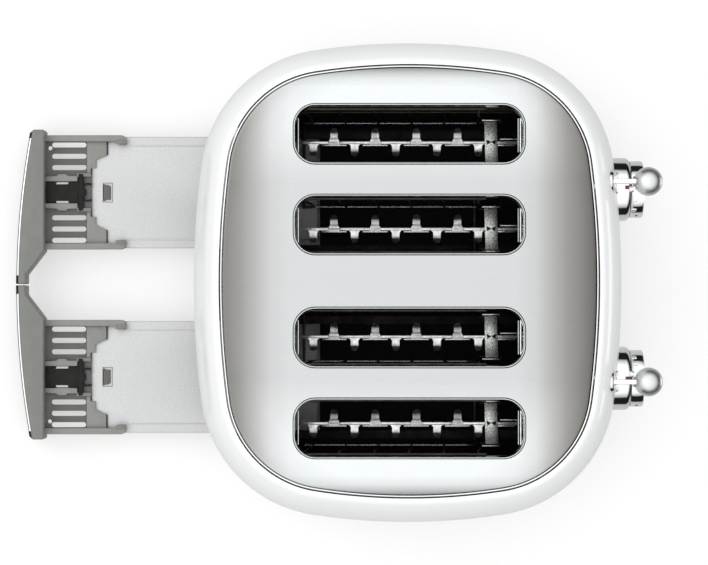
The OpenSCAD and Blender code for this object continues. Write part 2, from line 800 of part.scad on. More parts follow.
// ---- Crumb trays ----
edge_in = 6.2;                             // a tray's turned-up edges, in from its sides
edge_end = 14;                             // and back from its outer end
window = [13.4, 6.7];                      // window near the plate's outer end
window_edge = 1.3;
module crumb_tray(s) {
    side = sides[s - 1];
    y1 = tray_end;
    color(steel) in_body() {
        difference() {
            box(side - tray_w / 2, side + tray_w / 2, tray_back, y1, tray_z, tray_z + tray_t);
            box(side - window[0] / 2, side + window[0] / 2, y1 - window_edge - window[1],
                y1 - window_edge, tray_z - cut, tray_z + tray_t + cut);
        }
        // Turned-up edges, inside the handle's arms and at the inner end
        for (dir = [-1, 1])
            translate([side + dir * (tray_w / 2 - edge_in), (tray_back + y1 - edge_end) / 2,
                       tray_z + tray_t + tray_edge / 2])
                cube([tray_t, y1 - edge_end - tray_back, tray_edge], center = true);
        box(side - tray_w / 2 + edge_in, side + tray_w / 2 - edge_in, tray_back,
            tray_back + tray_t, tray_z + tray_t, tray_z + tray_t + tray_edge);
    }
}

// Outline of one handle's front block, for the side at +X
grip_l = 13;                               // slanted corner where a finger reaches in
module handle_outline() {
    n = 10;
    x0 = seam;
    front = [for (i = [0:n]) let (x = x0 + (handle_w - x0) * i / n)
        [x, outline_y(x, tuck) + tray_out]];
    polygon(concat(front, [[handle_w, handle_y], [tray_x - tray_w / 2 - 2, handle_y],
                           [7, handle_y + grip_l], [x0, handle_y + grip_l]]));
}

tray_end = tray_back + tray_l;             // outer end of a tray's plate, pulled out
floor_low = tray_z - 2;
floor_half = tray_w / 2 - ledge_w - move_gap;
slot_at = 17.8;                            // first drain slot, from the tray's middle
slot_step = 8;                             // to the next one
step_x = 14;                               // inner side of a raised step
step_h = 2;
tongue_x = 6;                              // half the width of the tongue and its tab

// One of the two raised steps that clamp the plate's end, with its slanted inner corner
module handle_step(dir) {
    y1 = floor_y - 0.3;
    y0 = tray_end - 3.5;
    translate([tray_x, 0, arm_z]) linear_extrude(step_h)
        polygon([for (p = [[step_x, y1], [floor_half, y1], [floor_half, y0],
                           [step_x + 10, y0], [step_x, y1 - 6]])
            [dir * p[0], p[1]]]);
}

module handle_arm(dir, y0, z0) {
    x = tray_x + dir * (tray_w / 2 - 1.3);
    box(x - arm_w / 2, x + arm_w / 2, y0, handle_y + cut, z0, arm_z + guide_arm);
}

module tray_handle(s) {
    color(grey) in_body() mirror([s == 2 ? 1 : 0, 0, 0]) difference() {
        union() {
            translate([0, 0, handle_z]) linear_extrude(handle_top - handle_z) handle_outline();
            // Slotted floor between the plate's end and the front block
            box(tray_x - floor_half, tray_x + floor_half, tray_end, handle_y + cut,
                floor_low, arm_z);
            // Tongue under the plate, with the tab that fills the plate's window
            box(tray_x - tongue_x, tray_x + tongue_x, tray_end - 10, tray_end + cut,
                floor_low, tray_z);
            box(tray_x - tongue_x, tray_x + tongue_x, tray_end - window_edge - window[1] + seam,
                tray_end - window_edge - seam, floor_low, arm_z + 1);
            for (dir = [-1, 1]) {
                handle_step(dir);
                handle_arm(dir, handle_y - arm_l, arm_z);
                handle_arm(dir, tray_end, tray_z);
            }
        }
        for (dir = [-1, 1])
            for (k = [0:2])
                translate([tray_x + dir * (slot_at + slot_step * k), (floor_y + handle_y - 3.5) / 2, 0])
                    linear_extrude(skirt_top) rounded(3.6, floor_l - 4.5, 1.7);
        // Groove of the chrome strip
        translate([0, -trim_deep, (handle_z + handle_top) / 2 - strip_h / 2])
            linear_extrude(strip_h) strip_outline(trim_deep + 2);
    }
}
trim_deep = 1;
strip_h = 6;

// Band along the handle's front, depth deep, ending short of the handle's ends
module strip_outline(depth) {
    n = 10;
    xs = [for (i = [0:n]) 5 + (handle_w - 9) * i / n];
    polygon(concat([for (x = xs) [x, outline_y(x, tuck) + tray_out]],
                   [for (x = reversed(xs)) [x, outline_y(x, tuck) + tray_out + depth]]));
}

module tray_trim(s) {
    color(chrome) in_body() mirror([s == 2 ? 1 : 0, 0, 0])
        translate([0, -trim_deep, (handle_z + handle_top) / 2 - strip_h / 2])
            linear_extrude(strip_h) strip_outline(trim_deep);
}

latch_z = arm_z + 0.1;                     // the latch slides on the handle's floor
latch = [15, 25, 5];
wing = [26, 2.8, 4];                       // crosspiece at the latch's inner end
hook = [3, 8, 3];
hook_x = 5.5;                              // distance of a hook from the latch's middle
module tray_latch(s) {
    side = sides[s - 1];
    wing_y = handle_y - latch[1];
    color(dark) in_body() {
        box(side - latch[0] / 2, side + latch[0] / 2, wing_y, handle_y, latch_z, latch_z + latch[2]);
        box(side - wing[0] / 2, side + wing[0] / 2, wing_y, wing_y + wing[1],
            latch_z, latch_z + wing[2]);
        for (x = [-hook_x, hook_x])
            box(side + x - hook[0] / 2, side + x + hook[0] / 2, wing_y - hook[1], wing_y + cut,
                latch_z + latch[2] - hook[2], latch_z + latch[2]);
    }
}

body_shell();
top_panel();
slot_lips();
panel_frame();
trim_ring();
base_skirt();
base_plate();
feet();
chassis_front();
chassis_rear();
tray_guides();
heater_boards_inner();
heater_boards_middle();
heater_boards_outer();
heating_wires();
guide_rods();
electromagnets();
control_boards();
dial_pots();
cord_gland();
screws();
dial_bezel(1);  // dial_bezel_1
dial_bezel(2);  // dial_bezel_2
dial_markers();
lever_bezel(1);  // lever_bezel_1
lever_bezel(2);  // lever_bezel_2
bread_rail(1);  // bread_rail_1
bread_rail(2);  // bread_rail_2
bread_rail(3);  // bread_rail_3
bread_rail(4);  // bread_rail_4
rail_strips(1);  // rail_strips_1
rail_strips(2);  // rail_strips_2
lift_frame(1);  // lift_frame_1
lift_frame(2);  // lift_frame_2
lever_ball(1);  // lever_ball_1
lever_ball(2);  // lever_ball_2
lift_spring(1);  // lift_spring_1
lift_spring(2);  // lift_spring_2
bread_guards(1);  // bread_guards_1
bread_guards(2);  // bread_guards_2
bread_guards(3);  // bread_guards_3
bread_guards(4);  // bread_guards_4
dial(1);  // dial_1
dial(2);  // dial_2
button(1);  // button_1
button(2);  // button_2
button(3);  // button_3
button(4);  // button_4
button(5);  // button_5
button(6);  // button_6
crumb_tray(1);  // crumb_tray_1
crumb_tray(2);  // crumb_tray_2
tray_handle(1);  // tray_handle_1
tray_handle(2);  // tray_handle_2
tray_trim(1);  // tray_trim_1
tray_trim(2);  // tray_trim_2
tray_latch(1);  // tray_latch_1
tray_latch(2);  // tray_latch_2
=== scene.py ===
# Four-slot pop-up toaster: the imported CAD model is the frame, and the covers, controls,
# trays and inner mechanism get their finished shapes and materials here. Metres, +Z up.
import math

import bmesh
import bpy
from mathutils import Matrix, Vector


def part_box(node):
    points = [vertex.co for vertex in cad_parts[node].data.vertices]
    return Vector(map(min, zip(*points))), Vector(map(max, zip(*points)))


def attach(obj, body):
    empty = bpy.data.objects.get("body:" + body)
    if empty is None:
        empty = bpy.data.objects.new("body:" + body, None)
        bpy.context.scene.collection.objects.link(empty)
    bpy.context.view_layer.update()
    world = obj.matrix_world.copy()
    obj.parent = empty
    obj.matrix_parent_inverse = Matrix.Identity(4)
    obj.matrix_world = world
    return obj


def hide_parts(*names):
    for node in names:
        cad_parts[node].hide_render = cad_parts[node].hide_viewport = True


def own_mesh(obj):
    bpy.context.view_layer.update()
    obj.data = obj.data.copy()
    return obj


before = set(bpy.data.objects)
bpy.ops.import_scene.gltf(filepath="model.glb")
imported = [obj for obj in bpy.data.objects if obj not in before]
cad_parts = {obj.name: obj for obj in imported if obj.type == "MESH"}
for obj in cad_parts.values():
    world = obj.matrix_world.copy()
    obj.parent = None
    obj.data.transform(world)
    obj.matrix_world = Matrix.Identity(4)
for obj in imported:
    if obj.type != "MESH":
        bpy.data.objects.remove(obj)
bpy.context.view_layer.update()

# ---------------------------------------------------------------- sizes and places
MM = 0.001
shell_low, shell_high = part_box("body_shell")
_, panel_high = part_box("top_panel")
BODY_Y = (shell_low.y + shell_high.y) / 2      # middle of the body, front to back
HALF_W = (shell_high.x - shell_low.x) / 2
HALF_D = (shell_high.y - shell_low.y) / 2
BODY_TOP = shell_high.z
SKIRT_TOP = shell_low.z

# Curves of the body's outline and wall, as in the CAD source
SIDE_R, FRONT_R, CORNER_R = 415 * MM, 607 * MM, 89 * MM
WIDE_Z = 100 * MM
TUCK, SHOULDER, SHELL_WALL = 6 * MM, 21 * MM, 2 * MM
TRIM_IN, TRIM_W, PANEL_IN = 21.8 * MM, 1.5 * MM, 23.6 * MM
LIP_RISE, LIP_WALL = 1.5 * MM, 1.1 * MM
PANEL_Z = panel_high.z
SLOT_W, SLOT_L, SLOT_R = 36.5 * MM, 146.5 * MM, 13 * MM
SIDE = 65.3                                    # a side's middle, in millimetres
SIDE_X, SLOT_PITCH = SIDE * MM, 58.2 * MM
SLOTS = (SIDE_X + SLOT_PITCH / 2, SIDE_X - SLOT_PITCH / 2,
         -SIDE_X + SLOT_PITCH / 2, -SIDE_X - SLOT_PITCH / 2)
DIAL = 62                                      # height of a dial's axis, in millimetres
FORWARD, UP = (0, -1, 0), (0, 0, 1)
LEVER_SPAN, LEVER_R, LEVER_RIM = (109 * MM, 176 * MM), 3 * MM, 4 * MM
BEZEL_R = 21.9 * MM
BUTTON_Z, BUTTON_R, BUTTON_PITCH = 93 * MM, 4.4 * MM, 13.2 * MM

# Brightness of the room from straight down (-1) to straight up (1): white above, with a
# dark band at the horizon
DOME = ((-1.0, 0.45), (-0.42, 0.40), (-0.30, 0.01), (0.20, 0.01), (0.30, 0.40), (0.62, 0.95),
        (1.0, 1.0))
DOME_LEVEL = 1.45
DOME_LEAN = 0.22                               # the lever side of the room is darker
CARD_WAY = (0.0, -0.90, -0.436)                # a low bright card in front of the levers
CARD_LEVEL = 5.0


# ---------------------------------------------------------------- camera and light
def set_camera():
    """A long lens straight above the toaster, with the levers at the picture's right."""
    data = bpy.data.cameras.new("camera")
    camera = bpy.data.objects.new("camera", data)
    bpy.context.scene.collection.objects.link(camera)
    bpy.context.scene.camera = camera
    data.sensor_width = 36
    data.lens = 135.05
    data.clip_end = 30
    place = Vector((-0.025, BODY_Y + 0.0317, 1.9))
    target = Vector((-0.001, BODY_Y + 0.0355, 0.2))
    back = (place - target).normalized()
    up = Vector((1, 0, 0))
    right = up.cross(back).normalized()
    up = back.cross(right)
    turn = Matrix((right, up, back)).transposed()
    camera.matrix_world = Matrix.Translation(place) @ turn.to_4x4()


set_camera()


def soft_lamp(place, target, size, power):
    data = bpy.data.lights.new("soft_left", "AREA")
    data.shape = "RECTANGLE"
    data.size = data.size_y = size
    data.energy = power
    lamp = bpy.data.objects.new("soft_left", data)
    lamp.location = place
    lamp.rotation_euler = (Vector(place) - Vector(target)).to_track_quat("Z", "Y").to_euler()
    bpy.context.scene.collection.objects.link(lamp)


def fill_ramp(ramp, stops):
    """Puts (position, colour) stops into a ramp node."""
    elements = ramp.color_ramp.elements
    while len(elements) < len(stops):
        elements.new(0.5)
    for element, (position, color) in zip(elements, stops):
        element.position = position
        element.color = (*color, 1)


def set_room():
    """The dome, the card, and the pale paper that the camera sees behind the floor."""
    world = bpy.data.worlds.new("studio")
    bpy.context.scene.world = world
    world.use_nodes = True
    nodes, links = world.node_tree.nodes, world.node_tree.links

    def math_node(kind, *values):
        node = nodes.new("ShaderNodeMath")
        node.operation = kind
        for socket, value in zip(node.inputs, values):
            if isinstance(value, (int, float)):
                socket.default_value = value
            else:
                links.new(value, socket)
        return node.outputs[0]

    way = nodes.new("ShaderNodeTexCoord").outputs["Generated"]
    split = nodes.new("ShaderNodeSeparateXYZ")
    links.new(way, split.inputs[0])
    ramp = nodes.new("ShaderNodeValToRGB")
    links.new(math_node("MULTIPLY_ADD", split.outputs["Z"], 0.5, 0.5), ramp.inputs[0])
    fill_ramp(ramp, [((z + 1) / 2, (level * 0.99, level, level)) for z, level in DOME])
    lean = math_node("MULTIPLY_ADD", split.outputs["Y"], DOME_LEAN, 1.0)
    card = nodes.new("ShaderNodeVectorMath")
    card.operation = "DOT_PRODUCT"
    card.inputs[1].default_value = CARD_WAY
    links.new(way, card.inputs[0])
    spot = nodes.new("ShaderNodeMapRange")
    spot.inputs["From Min"].default_value = 0.955
    spot.inputs["From Max"].default_value = 0.975
    links.new(card.outputs["Value"], spot.inputs["Value"])
    room = nodes["Background"]
    links.new(ramp.outputs["Color"], room.inputs["Color"])
    links.new(math_node("ADD", math_node("MULTIPLY", lean, DOME_LEVEL),
                        math_node("MULTIPLY", spot.outputs["Result"], CARD_LEVEL)),
              room.inputs["Strength"])
    paper = nodes.new("ShaderNodeBackground")
    paper.inputs["Color"].default_value = (0.94, 0.94, 0.935, 1)
    mix = nodes.new("ShaderNodeMixShader")
    links.new(nodes.new("ShaderNodeLightPath").outputs["Is Camera Ray"], mix.inputs[0])
    links.new(room.outputs[0], mix.inputs[1])
    links.new(paper.outputs[0], mix.inputs[2])
    links.new(mix.outputs[0], nodes["World Output"].inputs["Surface"])
    bpy.context.scene.view_settings.view_transform = "Standard"


soft_lamp((0.6, BODY_Y + 1.5, 2.0), (0, BODY_Y, 0.1), 0.8, 2.0)
set_room()


# ---------------------------------------------------------------- materials
class Finish:
    """A procedural material on Object coordinates, in metres."""

    def __init__(self, name, color, rough, metal=0.0, **extra):
        self.material = bpy.data.materials.new(name)
        self.material.use_nodes = True
        self.tree = self.material.node_tree
        self.shader = self.tree.nodes["Principled BSDF"]
        self.color = color
        self.rough = rough
        self.shader.inputs["Base Color"].default_value = (*color, 1)
        self.shader.inputs["Roughness"].default_value = rough
        self.shader.inputs["Metallic"].default_value = metal
        for socket, value in extra.items():
            self.shader.inputs[socket.replace("_", " ")].default_value = value
        self.coords = self.tree.nodes.new("ShaderNodeTexCoord")

    def add(self, kind, **settings):
        node = self.tree.nodes.new("ShaderNode" + kind)
        for key, value in settings.items():
            setattr(node, key, value)
        return node

    def link(self, a, b):
        self.tree.links.new(a, b)

    def place(self, scale=(1, 1, 1)):
        mapping = self.add("Mapping")
        mapping.inputs["Scale"].default_value = scale
        self.link(self.coords.outputs["Object"], mapping.inputs["Vector"])
        return mapping.outputs["Vector"]

    def noise(self, scale, detail=3.0, stretch=(1, 1, 1)):
        noise = self.add("TexNoise")
        noise.inputs["Scale"].default_value = scale
        noise.inputs["Detail"].default_value = detail
        self.link(self.place(stretch), noise.inputs["Vector"])
        return noise.outputs["Fac"]

    def cells(self, scale, output):
        cells = self.add("TexVoronoi")
        cells.inputs["Scale"].default_value = scale
        self.link(self.place(), cells.inputs["Vector"])
        return cells.outputs[output]

    def ramp(self, factor, stops):
        ramp = self.add("ValToRGB")
        fill_ramp(ramp, stops)
        self.link(factor, ramp.inputs["Fac"])
        return ramp.outputs["Color"]

    def spread(self, factor, low, high):
        """Turns a 0 to 1 pattern into the range low to high."""
        spread = self.add("MapRange")
        spread.inputs["From Min"].default_value = 0.3
        spread.inputs["From Max"].default_value = 0.7
        spread.inputs["To Min"].default_value = low
        spread.inputs["To Max"].default_value = high
        self.link(factor, spread.inputs["Value"])
        return spread.outputs["Result"]

    def away_from(self, axis, middle, reach):
        """0 at a middle place along an axis, 1 at reach from it."""
        split = self.add("SeparateXYZ")
        self.link(self.coords.outputs["Object"], split.inputs[0])
        value = split.outputs[axis]
        for kind, amount in (("SUBTRACT", middle), ("ABSOLUTE", 0), ("DIVIDE", reach)):
            node = self.add("Math", operation=kind)
            self.link(value, node.inputs[0])
            node.inputs[1].default_value = amount
            value = node.outputs[0]
        return value

    def from_middle(self, middle_y, half_x, half_y, share):
        """0 at the body's middle, and share on an oval with these half sizes."""
        placed = self.add("Mapping")
        placed.inputs["Scale"].default_value = (share / half_x, share / half_y, 0)
        placed.inputs["Location"].default_value = (0, -middle_y * share / half_y, 0)
        self.link(self.coords.outputs["Object"], placed.inputs["Vector"])
        size = self.add("VectorMath", operation="LENGTH")
        self.link(placed.outputs["Vector"], size.inputs[0])
        return size.outputs["Value"]

    def product(self, first, second):
        both = self.add("VectorMath", operation="MULTIPLY")
        self.link(first, both.inputs[0])
        self.link(second, both.inputs[1])
        return both.outputs[0]

    def grained(self, color, factor, amount):
        """The colour made lighter and darker by a pattern."""
        scale = self.add("VectorMath", operation="SCALE")
        self.link(color, scale.inputs[0])
        self.link(self.spread(factor, 1 - amount, 1 + amount), scale.inputs["Scale"])
        return scale.outputs[0]

    def paint(self, color):
        self.link(color, self.shader.inputs["Base Color"])

    def vary_color(self, factor, amount):
        dark = tuple(c * (1 - amount) for c in self.color)
        light = tuple(min(1, c * (1 + amount)) for c in self.color)
        self.paint(self.ramp(factor, [(0.3, dark), (0.7, light)]))

    def vary_rough(self, factor, amount):
        self.link(self.spread(factor, self.rough - amount, self.rough + amount),
                  self.shader.inputs["Roughness"])

    def bump(self, factor, height, strength=1.0):
        bump = self.add("Bump")
        bump.inputs["Distance"].default_value = height
        bump.inputs["Strength"].default_value = strength
        self.link(factor, bump.inputs["Height"])
        self.link(bump.outputs["Normal"], self.shader.inputs["Normal"])


# Key, name, colour, roughness and metal, then what noise does: (scale, detail, amount) for the
# colour and for the roughness, and (scale, detail, height, strength) for the bump
GREY_NOISE = ((160, 5, 0.05), (900, 2, 0.05), (1800, 2, 0.00003, 0.5))
FINISHES = (
    ("enamel", "white_enamel", (0.90, 0.91, 0.905), 0.35, 0.0, (9, 2, 0.01), None,
     (700, 2, 0.00002, 0.3)),
    ("polish", "polished_lip", (0.80, 0.81, 0.81), 0.13, 1.0, (40, 3, 0.02), (300, 4, 0.03), None),
    ("chrome", "bright_chrome", (0.86, 0.865, 0.87), 0.06, 1.0, (25, 3, 0.02), (220, 4, 0.025),
     None),
    ("satin_ball", "satin_ball", (0.68, 0.685, 0.69), 0.36, 1.0, (25, 3, 0.02), (260, 4, 0.02),
     None),
    ("sheet", "tray_sheet", (0.56, 0.56, 0.56), 0.45, 0.35, (620, 4, 0.055), (500, 3, 0.06),
     (900, 3, 0.00002, 0.4)),
    ("wire", "guard_wire", (0.06, 0.058, 0.052), 0.45, 1.0, (90, 4, 0.3), (300, 3, 0.08), None),
    ("ribbon", "heating_ribbon", (0.22, 0.16, 0.12), 0.45, 0.9, (200, 4, 0.3), None, None),
    ("grey", "grey_plastic", (0.185, 0.188, 0.174), 0.5, 0.0, *GREY_NOISE),
    ("deep", "deep_grey_plastic", (0.100, 0.102, 0.092), 0.5, 0.0, *GREY_NOISE),
    ("pale", "pale_grey_plastic", (0.235, 0.238, 0.222), 0.5, 0.0, *GREY_NOISE),
    ("black", "black_plastic", (0.012, 0.012, 0.011), 0.6, 0.0, (150, 3, 0.25), None,
     (1600, 2, 0.00003, 0.5)),
    ("rubber", "foot_rubber", (0.022, 0.022, 0.022), 0.75, 0.0, (200, 4, 0.3), None,
     (1200, 3, 0.00006, 0.6)),
    ("copper", "copper_winding", (0.55, 0.22, 0.10), 0.3, 1.0, (300, 3, 0.15), None, None),
    ("red", "red_marker", (0.13, 0.004, 0.012), 0.3, 0.0, (600, 2, 0.1), None, None),
    ("steel", "drawn_steel", (0.56, 0.57, 0.58), 0.28, 1.0, (120, 4, (1, 1, 0.1), 0.08),
     (400, 3, 0.06), None),
    ("zinc", "galvanised_sheet", (0.72, 0.73, 0.72), 0.32, 1.0, None, (300, 3, 0.08),
     (900, 3, 0.00002, 0.4)),
    # Near-black sheet: part heat tint, part painted shade; used inside the slots and for thin
    # shadow lines.
    ("baked_and_shade", "baked_sheet_and_painted_shade", (0.05, 0.05, 0.048), 0.5, 0.8, None, (300, 3, 0.1), None),
    ("speckle", "speckled_strip", (0.7, 0.7, 0.69), 0.36, 0.9, None, None,
     (1300, 3, 0.00006, 0.5)),
    ("mica", "mica_board", (0.20, 0.165, 0.10), 0.55, 0.0, None, None, (260, 4, 0.00006, 0.5)),
    ("board", "board_laminate", (0.03, 0.12, 0.06), 0.4, 0.0, None, None, None),
)
EXTRA_SOCKETS = {
    "enamel": {"Coat_Weight": 0.4, "Coat_Roughness": 0.08}, "black": {"Specular_IOR_Level": 0.2},
    "red": {"Coat_Weight": 0.2}, "mica": {"Coat_Weight": 0.2}, "board": {"Coat_Weight": 0.4},
}
# Pattern, its settings and the colours it runs through: grey spangle, near-black sheet that is
# heat-blued and browned and also serves as painted shade, speckles, brown flakes in layers, and
# laminate
PATTERNS = {
    "zinc": ("cells", (420, "Color"), [(0.1, (0.60, 0.61, 0.60)), (0.9, (0.84, 0.85, 0.84))]),
    "baked_and_shade": ("noise", (45, 5), [(0.3, (0.015, 0.015, 0.016)), (0.55, (0.028, 0.027, 0.025)),
                                 (0.75, (0.05, 0.044, 0.036))]),
    "speckle": ("noise", (1300, 3), [(0.40, (0.35, 0.36, 0.34)), (0.58, (0.88, 0.90, 0.86))]),
    "mica": ("noise", (160, 6, (1, 1, 2.5)), [(0.3, (0.045, 0.046, 0.032)),
                                              (0.55, (0.085, 0.084, 0.06)),
                                              (0.75, (0.14, 0.135, 0.10))]),
    "board": ("cells", (260, "Distance"), [(0.1, (0.05, 0.18, 0.09)), (0.5, (0.02, 0.09, 0.045))]),
}


def make_satin():
    """Satin stainless with fine grain; its colour is painted darker towards the panel's edges and
    corners as painted shade, with a painted highlight band inside its left and right edges.
    """
    satin = Finish("satin_stainless_painted_shade", (0.57, 0.585, 0.59), 0.27, 1.0)
    # Painted shade: the colour darkens towards the front and back ends, standing in for reflected
    # dark surroundings.
    ends = satin.ramp(satin.away_from("Y", BODY_Y + 0.004, 0.125),
                      [(0.58, (0.67, 0.685, 0.69)), (0.68, (0.615, 0.62, 0.62)),
                       (0.76, (0.47, 0.465, 0.45)), (0.84, (0.335, 0.325, 0.31)),
                       (0.90, (0.27, 0.26, 0.25)), (0.985, (0.16, 0.153, 0.146))])
    # Painted highlight and shade: a lighter band just inside the left and right edges, then darker
    # at the edge itself.
    sides = satin.ramp(satin.away_from("X", 0.0, 0.14),
                       [(0.45, (0.76, 0.76, 0.76)), (0.80, (1.0, 1.0, 1.0)),
                        (0.89, (1.0, 1.0, 1.0)), (0.93, (0.86, 0.86, 0.86)),
                        (0.955, (0.62, 0.62, 0.615)), (0.98, (0.30, 0.30, 0.295))])
    # Painted shade: darker towards the corners.
    corners = satin.ramp(satin.from_middle(BODY_Y, HALF_W - PANEL_IN, HALF_D - PANEL_IN, 0.8),
                         [(0.78, (1.0, 1.0, 1.0)), (0.86, (0.90, 0.90, 0.90)),
                          (0.93, (0.72, 0.72, 0.715)), (0.98, (0.50, 0.50, 0.49))])
    painted_edge_shade = satin.product(satin.product(ends, sides), corners)
    satin.paint(satin.grained(painted_edge_shade, satin.noise(900, 3, (1, 0.08, 1)), 0.012))
    satin.vary_rough(satin.noise(1400, 2, (1, 0.12, 1)), 0.02)
    satin.bump(satin.noise(2600, 3, (1, 0.15, 1)), 0.000004, 0.2)
    return satin


def make_finishes():
    made = {"satin": make_satin()}
    for key, name, color, rough, metal, colors, roughs, bumps in FINISHES:
        one = made[key] = Finish(name, color, rough, metal, **EXTRA_SOCKETS.get(key, {}))
        if key in PATTERNS:
            pattern, settings, stops = PATTERNS[key]
            one.paint(one.ramp(getattr(one, pattern)(*settings), stops))
        if colors:
            one.vary_color(one.noise(*colors[:-1]), colors[-1])
        if roughs:
            one.vary_rough(one.noise(*roughs[:2]), roughs[2])
        if bumps:
            one.bump(one.noise(*bumps[:2]), *bumps[2:])
    return {key: value.material for key, value in made.items()}


FINISH = make_finishes()


# ---------------------------------------------------------------- modelling helpers
def activate(piece):
    bpy.ops.object.select_all(action="DESELECT")
    piece.select_set(True)
    bpy.context.view_layer.objects.active = piece


def open_mesh():
    """Opens the active piece's mesh with everything selected."""
    bpy.ops.object.mode_set(mode="EDIT")
    bpy.ops.mesh.select_all(action="SELECT")


def close_mesh():
    """Turns every face outward and leaves the mesh."""
    bpy.ops.mesh.select_all(action="SELECT")
    bpy.ops.mesh.normals_make_consistent(inside=False)
    bpy.ops.object.mode_set(mode="OBJECT")


def settle(name, finish):
    """Names the active piece, puts its place into its mesh and gives it a finish."""
    piece = bpy.context.object
    bpy.ops.object.transform_apply(location=True, rotation=True, scale=True)
    piece.name = piece.data.name = name
    piece.data.materials.clear()
    piece.data.materials.append(FINISH[finish])
    return piece


def smooth(piece, angle=35):
    activate(piece)
    bpy.ops.object.shade_smooth_by_angle(angle=math.radians(angle))
    return piece


def apply(piece, kind, **settings):
    """Adds a modifier and applies it."""
    activate(piece)
    modifier = piece.modifiers.new(kind.lower(), kind)
    for key, value in settings.items():
        setattr(modifier, key, value)
    bpy.ops.object.modifier_apply(modifier=modifier.name)
    return piece


def bevel(piece, width, segments):
    return apply(piece, "BEVEL", width=width, segments=segments, limit_method="ANGLE",
                 angle_limit=math.radians(30), harden_normals=False)


def cut_away(piece, cutter):
    apply(piece, "BOOLEAN", object=cutter, operation="DIFFERENCE", solver="EXACT")
    bpy.data.objects.remove(cutter)
    return piece


def join(pieces, name=None):
    activate(pieces[0])
    for piece in pieces:
        piece.select_set(True)
    bpy.ops.object.join()
    if name:
        pieces[0].name = pieces[0].data.name = name
    return pieces[0]


def at(x, y, z):
    """A place given in millimetres from the body's middle."""
    return Vector((x * MM, BODY_Y + y * MM, z * MM))


def circle(steps):
    return [2 * math.pi * i / steps for i in range(steps)]


def brick(name, low, high, finish, edge=0.0, segments=2):
    """A block between two corners, in mm from the body's middle."""
    low, high = at(*low), at(*high)
    bpy.ops.mesh.primitive_cube_add(size=1, location=(low + high) / 2, scale=high - low)
    piece = settle(name, finish)
    if edge:
        bevel(piece, edge * MM, segments)
    return smooth(piece)


def spun(name, profile, middle, axis, finish, steps=48, angle=35):
    """A lathe-turned solid: profile is (radius, place along the axis) in mm from end to end."""
    profile = [(radius * MM, level * MM) for radius, level in profile]
    radius, level = profile[0]
    bpy.ops.mesh.primitive_circle_add(vertices=steps, radius=radius, fill_type="NGON")
    open_mesh()
    bpy.ops.transform.translate(value=(0, 0, level))
    for next_radius, next_level in profile[1:]:
        bpy.ops.mesh.extrude_region_move(
            TRANSFORM_OT_translate={"value": (0, 0, next_level - level)})
        if next_radius != radius:
            ratio = next_radius / radius
            bpy.ops.transform.resize(value=(ratio, ratio, 1), center_override=(0, 0, next_level))
        radius, level = next_radius, next_level
    close_mesh()
    piece = bpy.context.object
    piece.rotation_euler = Vector(axis).to_track_quat("Z", "X").to_euler()
    piece.location = at(*middle)
    return smooth(settle(name, finish), angle)


def loft(name, rings, finish, closed=True):
    """A skin through rings of equal count; closed joins the last ring to the first."""
    count = len(rings[0])
    bpy.ops.mesh.primitive_circle_add(vertices=count, radius=1, fill_type="NOTHING")
    piece = bpy.context.object
    for vertex, point in zip(piece.data.vertices, rings[0]):
        vertex.co = point
    open_mesh()
    for ring in rings[1:] + ([rings[0]] if closed else []):
        bpy.ops.mesh.extrude_region_move()
        mesh = bmesh.from_edit_mesh(piece.data)
        fresh = sorted((v for v in mesh.verts if v.select), key=lambda v: v.index)
        for vertex, point in zip(fresh, ring):
            vertex.co = point
        bmesh.update_edit_mesh(piece.data)
    bpy.ops.mesh.select_all(action="SELECT")
    bpy.ops.mesh.remove_doubles(threshold=1e-6)
    close_mesh()
    return settle(name, finish)


def bored(name, profile, middle, axis, finish, steps=64):
    """A lathe-turned ring: profile is a closed line of (radius, place along the axis) in mm."""
    turn = Vector(axis).to_track_quat("Z", "X")
    rings = [[at(*middle) + turn @ Vector((radius * MM * math.cos(a), radius * MM * math.sin(a),
                                           level * MM)) for a in circle(steps)]
             for radius, level in profile]
    return smooth(loft(name, rings, finish), 40)


def slab(name, points, low, high, finish, edge=0.0, segments=2):
    """A flat piece cut to an outline and pulled up from low to high, in mm."""
    bpy.ops.mesh.primitive_circle_add(vertices=len(points), radius=1, fill_type="NGON")
    piece = bpy.context.object
    for vertex, (x, y) in zip(piece.data.vertices, points):
        vertex.co = at(x, y, low)
    open_mesh()
    bpy.ops.mesh.extrude_region_move(TRANSFORM_OT_translate={"value": (0, 0, (high - low) * MM)})
    close_mesh()
    piece = settle(name, finish)
    if edge:
        bevel(piece, edge * MM, segments)
    return smooth(piece)


def close_ends(piece):
    """Fills the open ends of a skin."""
    activate(piece)
    open_mesh()
    bpy.ops.mesh.fill_holes(sides=0)
    close_mesh()
    return piece


def strap(name, stations, x, y, thick, finish):
    """A bent sheet-metal strap along X: stations are (along, height, half width) in mm."""
    corners = ((-1, 0), (1, 0), (1, thick), (-1, thick))
    rings = [[at(x + along, y + side * half, height - drop) for side, drop in corners]
             for along, height, half in stations]
    return close_ends(loft(name, rings, finish, closed=False))


def tube(name, points, radius, finish, steps=10):
    """A round wire through the points."""
    rings = []
    side = Vector((0.123, 0.456, 0.789))
    for i, point in enumerate(points):
        ahead = (points[min(i + 1, len(points) - 1)] - points[max(i - 1, 0)]).normalized()
        side = (side - ahead * side.dot(ahead)).normalized()
        up = ahead.cross(side)
        rings.append([point + radius * (side * math.cos(a) + up * math.sin(a))
                      for a in circle(steps)])
    return smooth(close_ends(loft(name, rings, finish, closed=False)), 50)


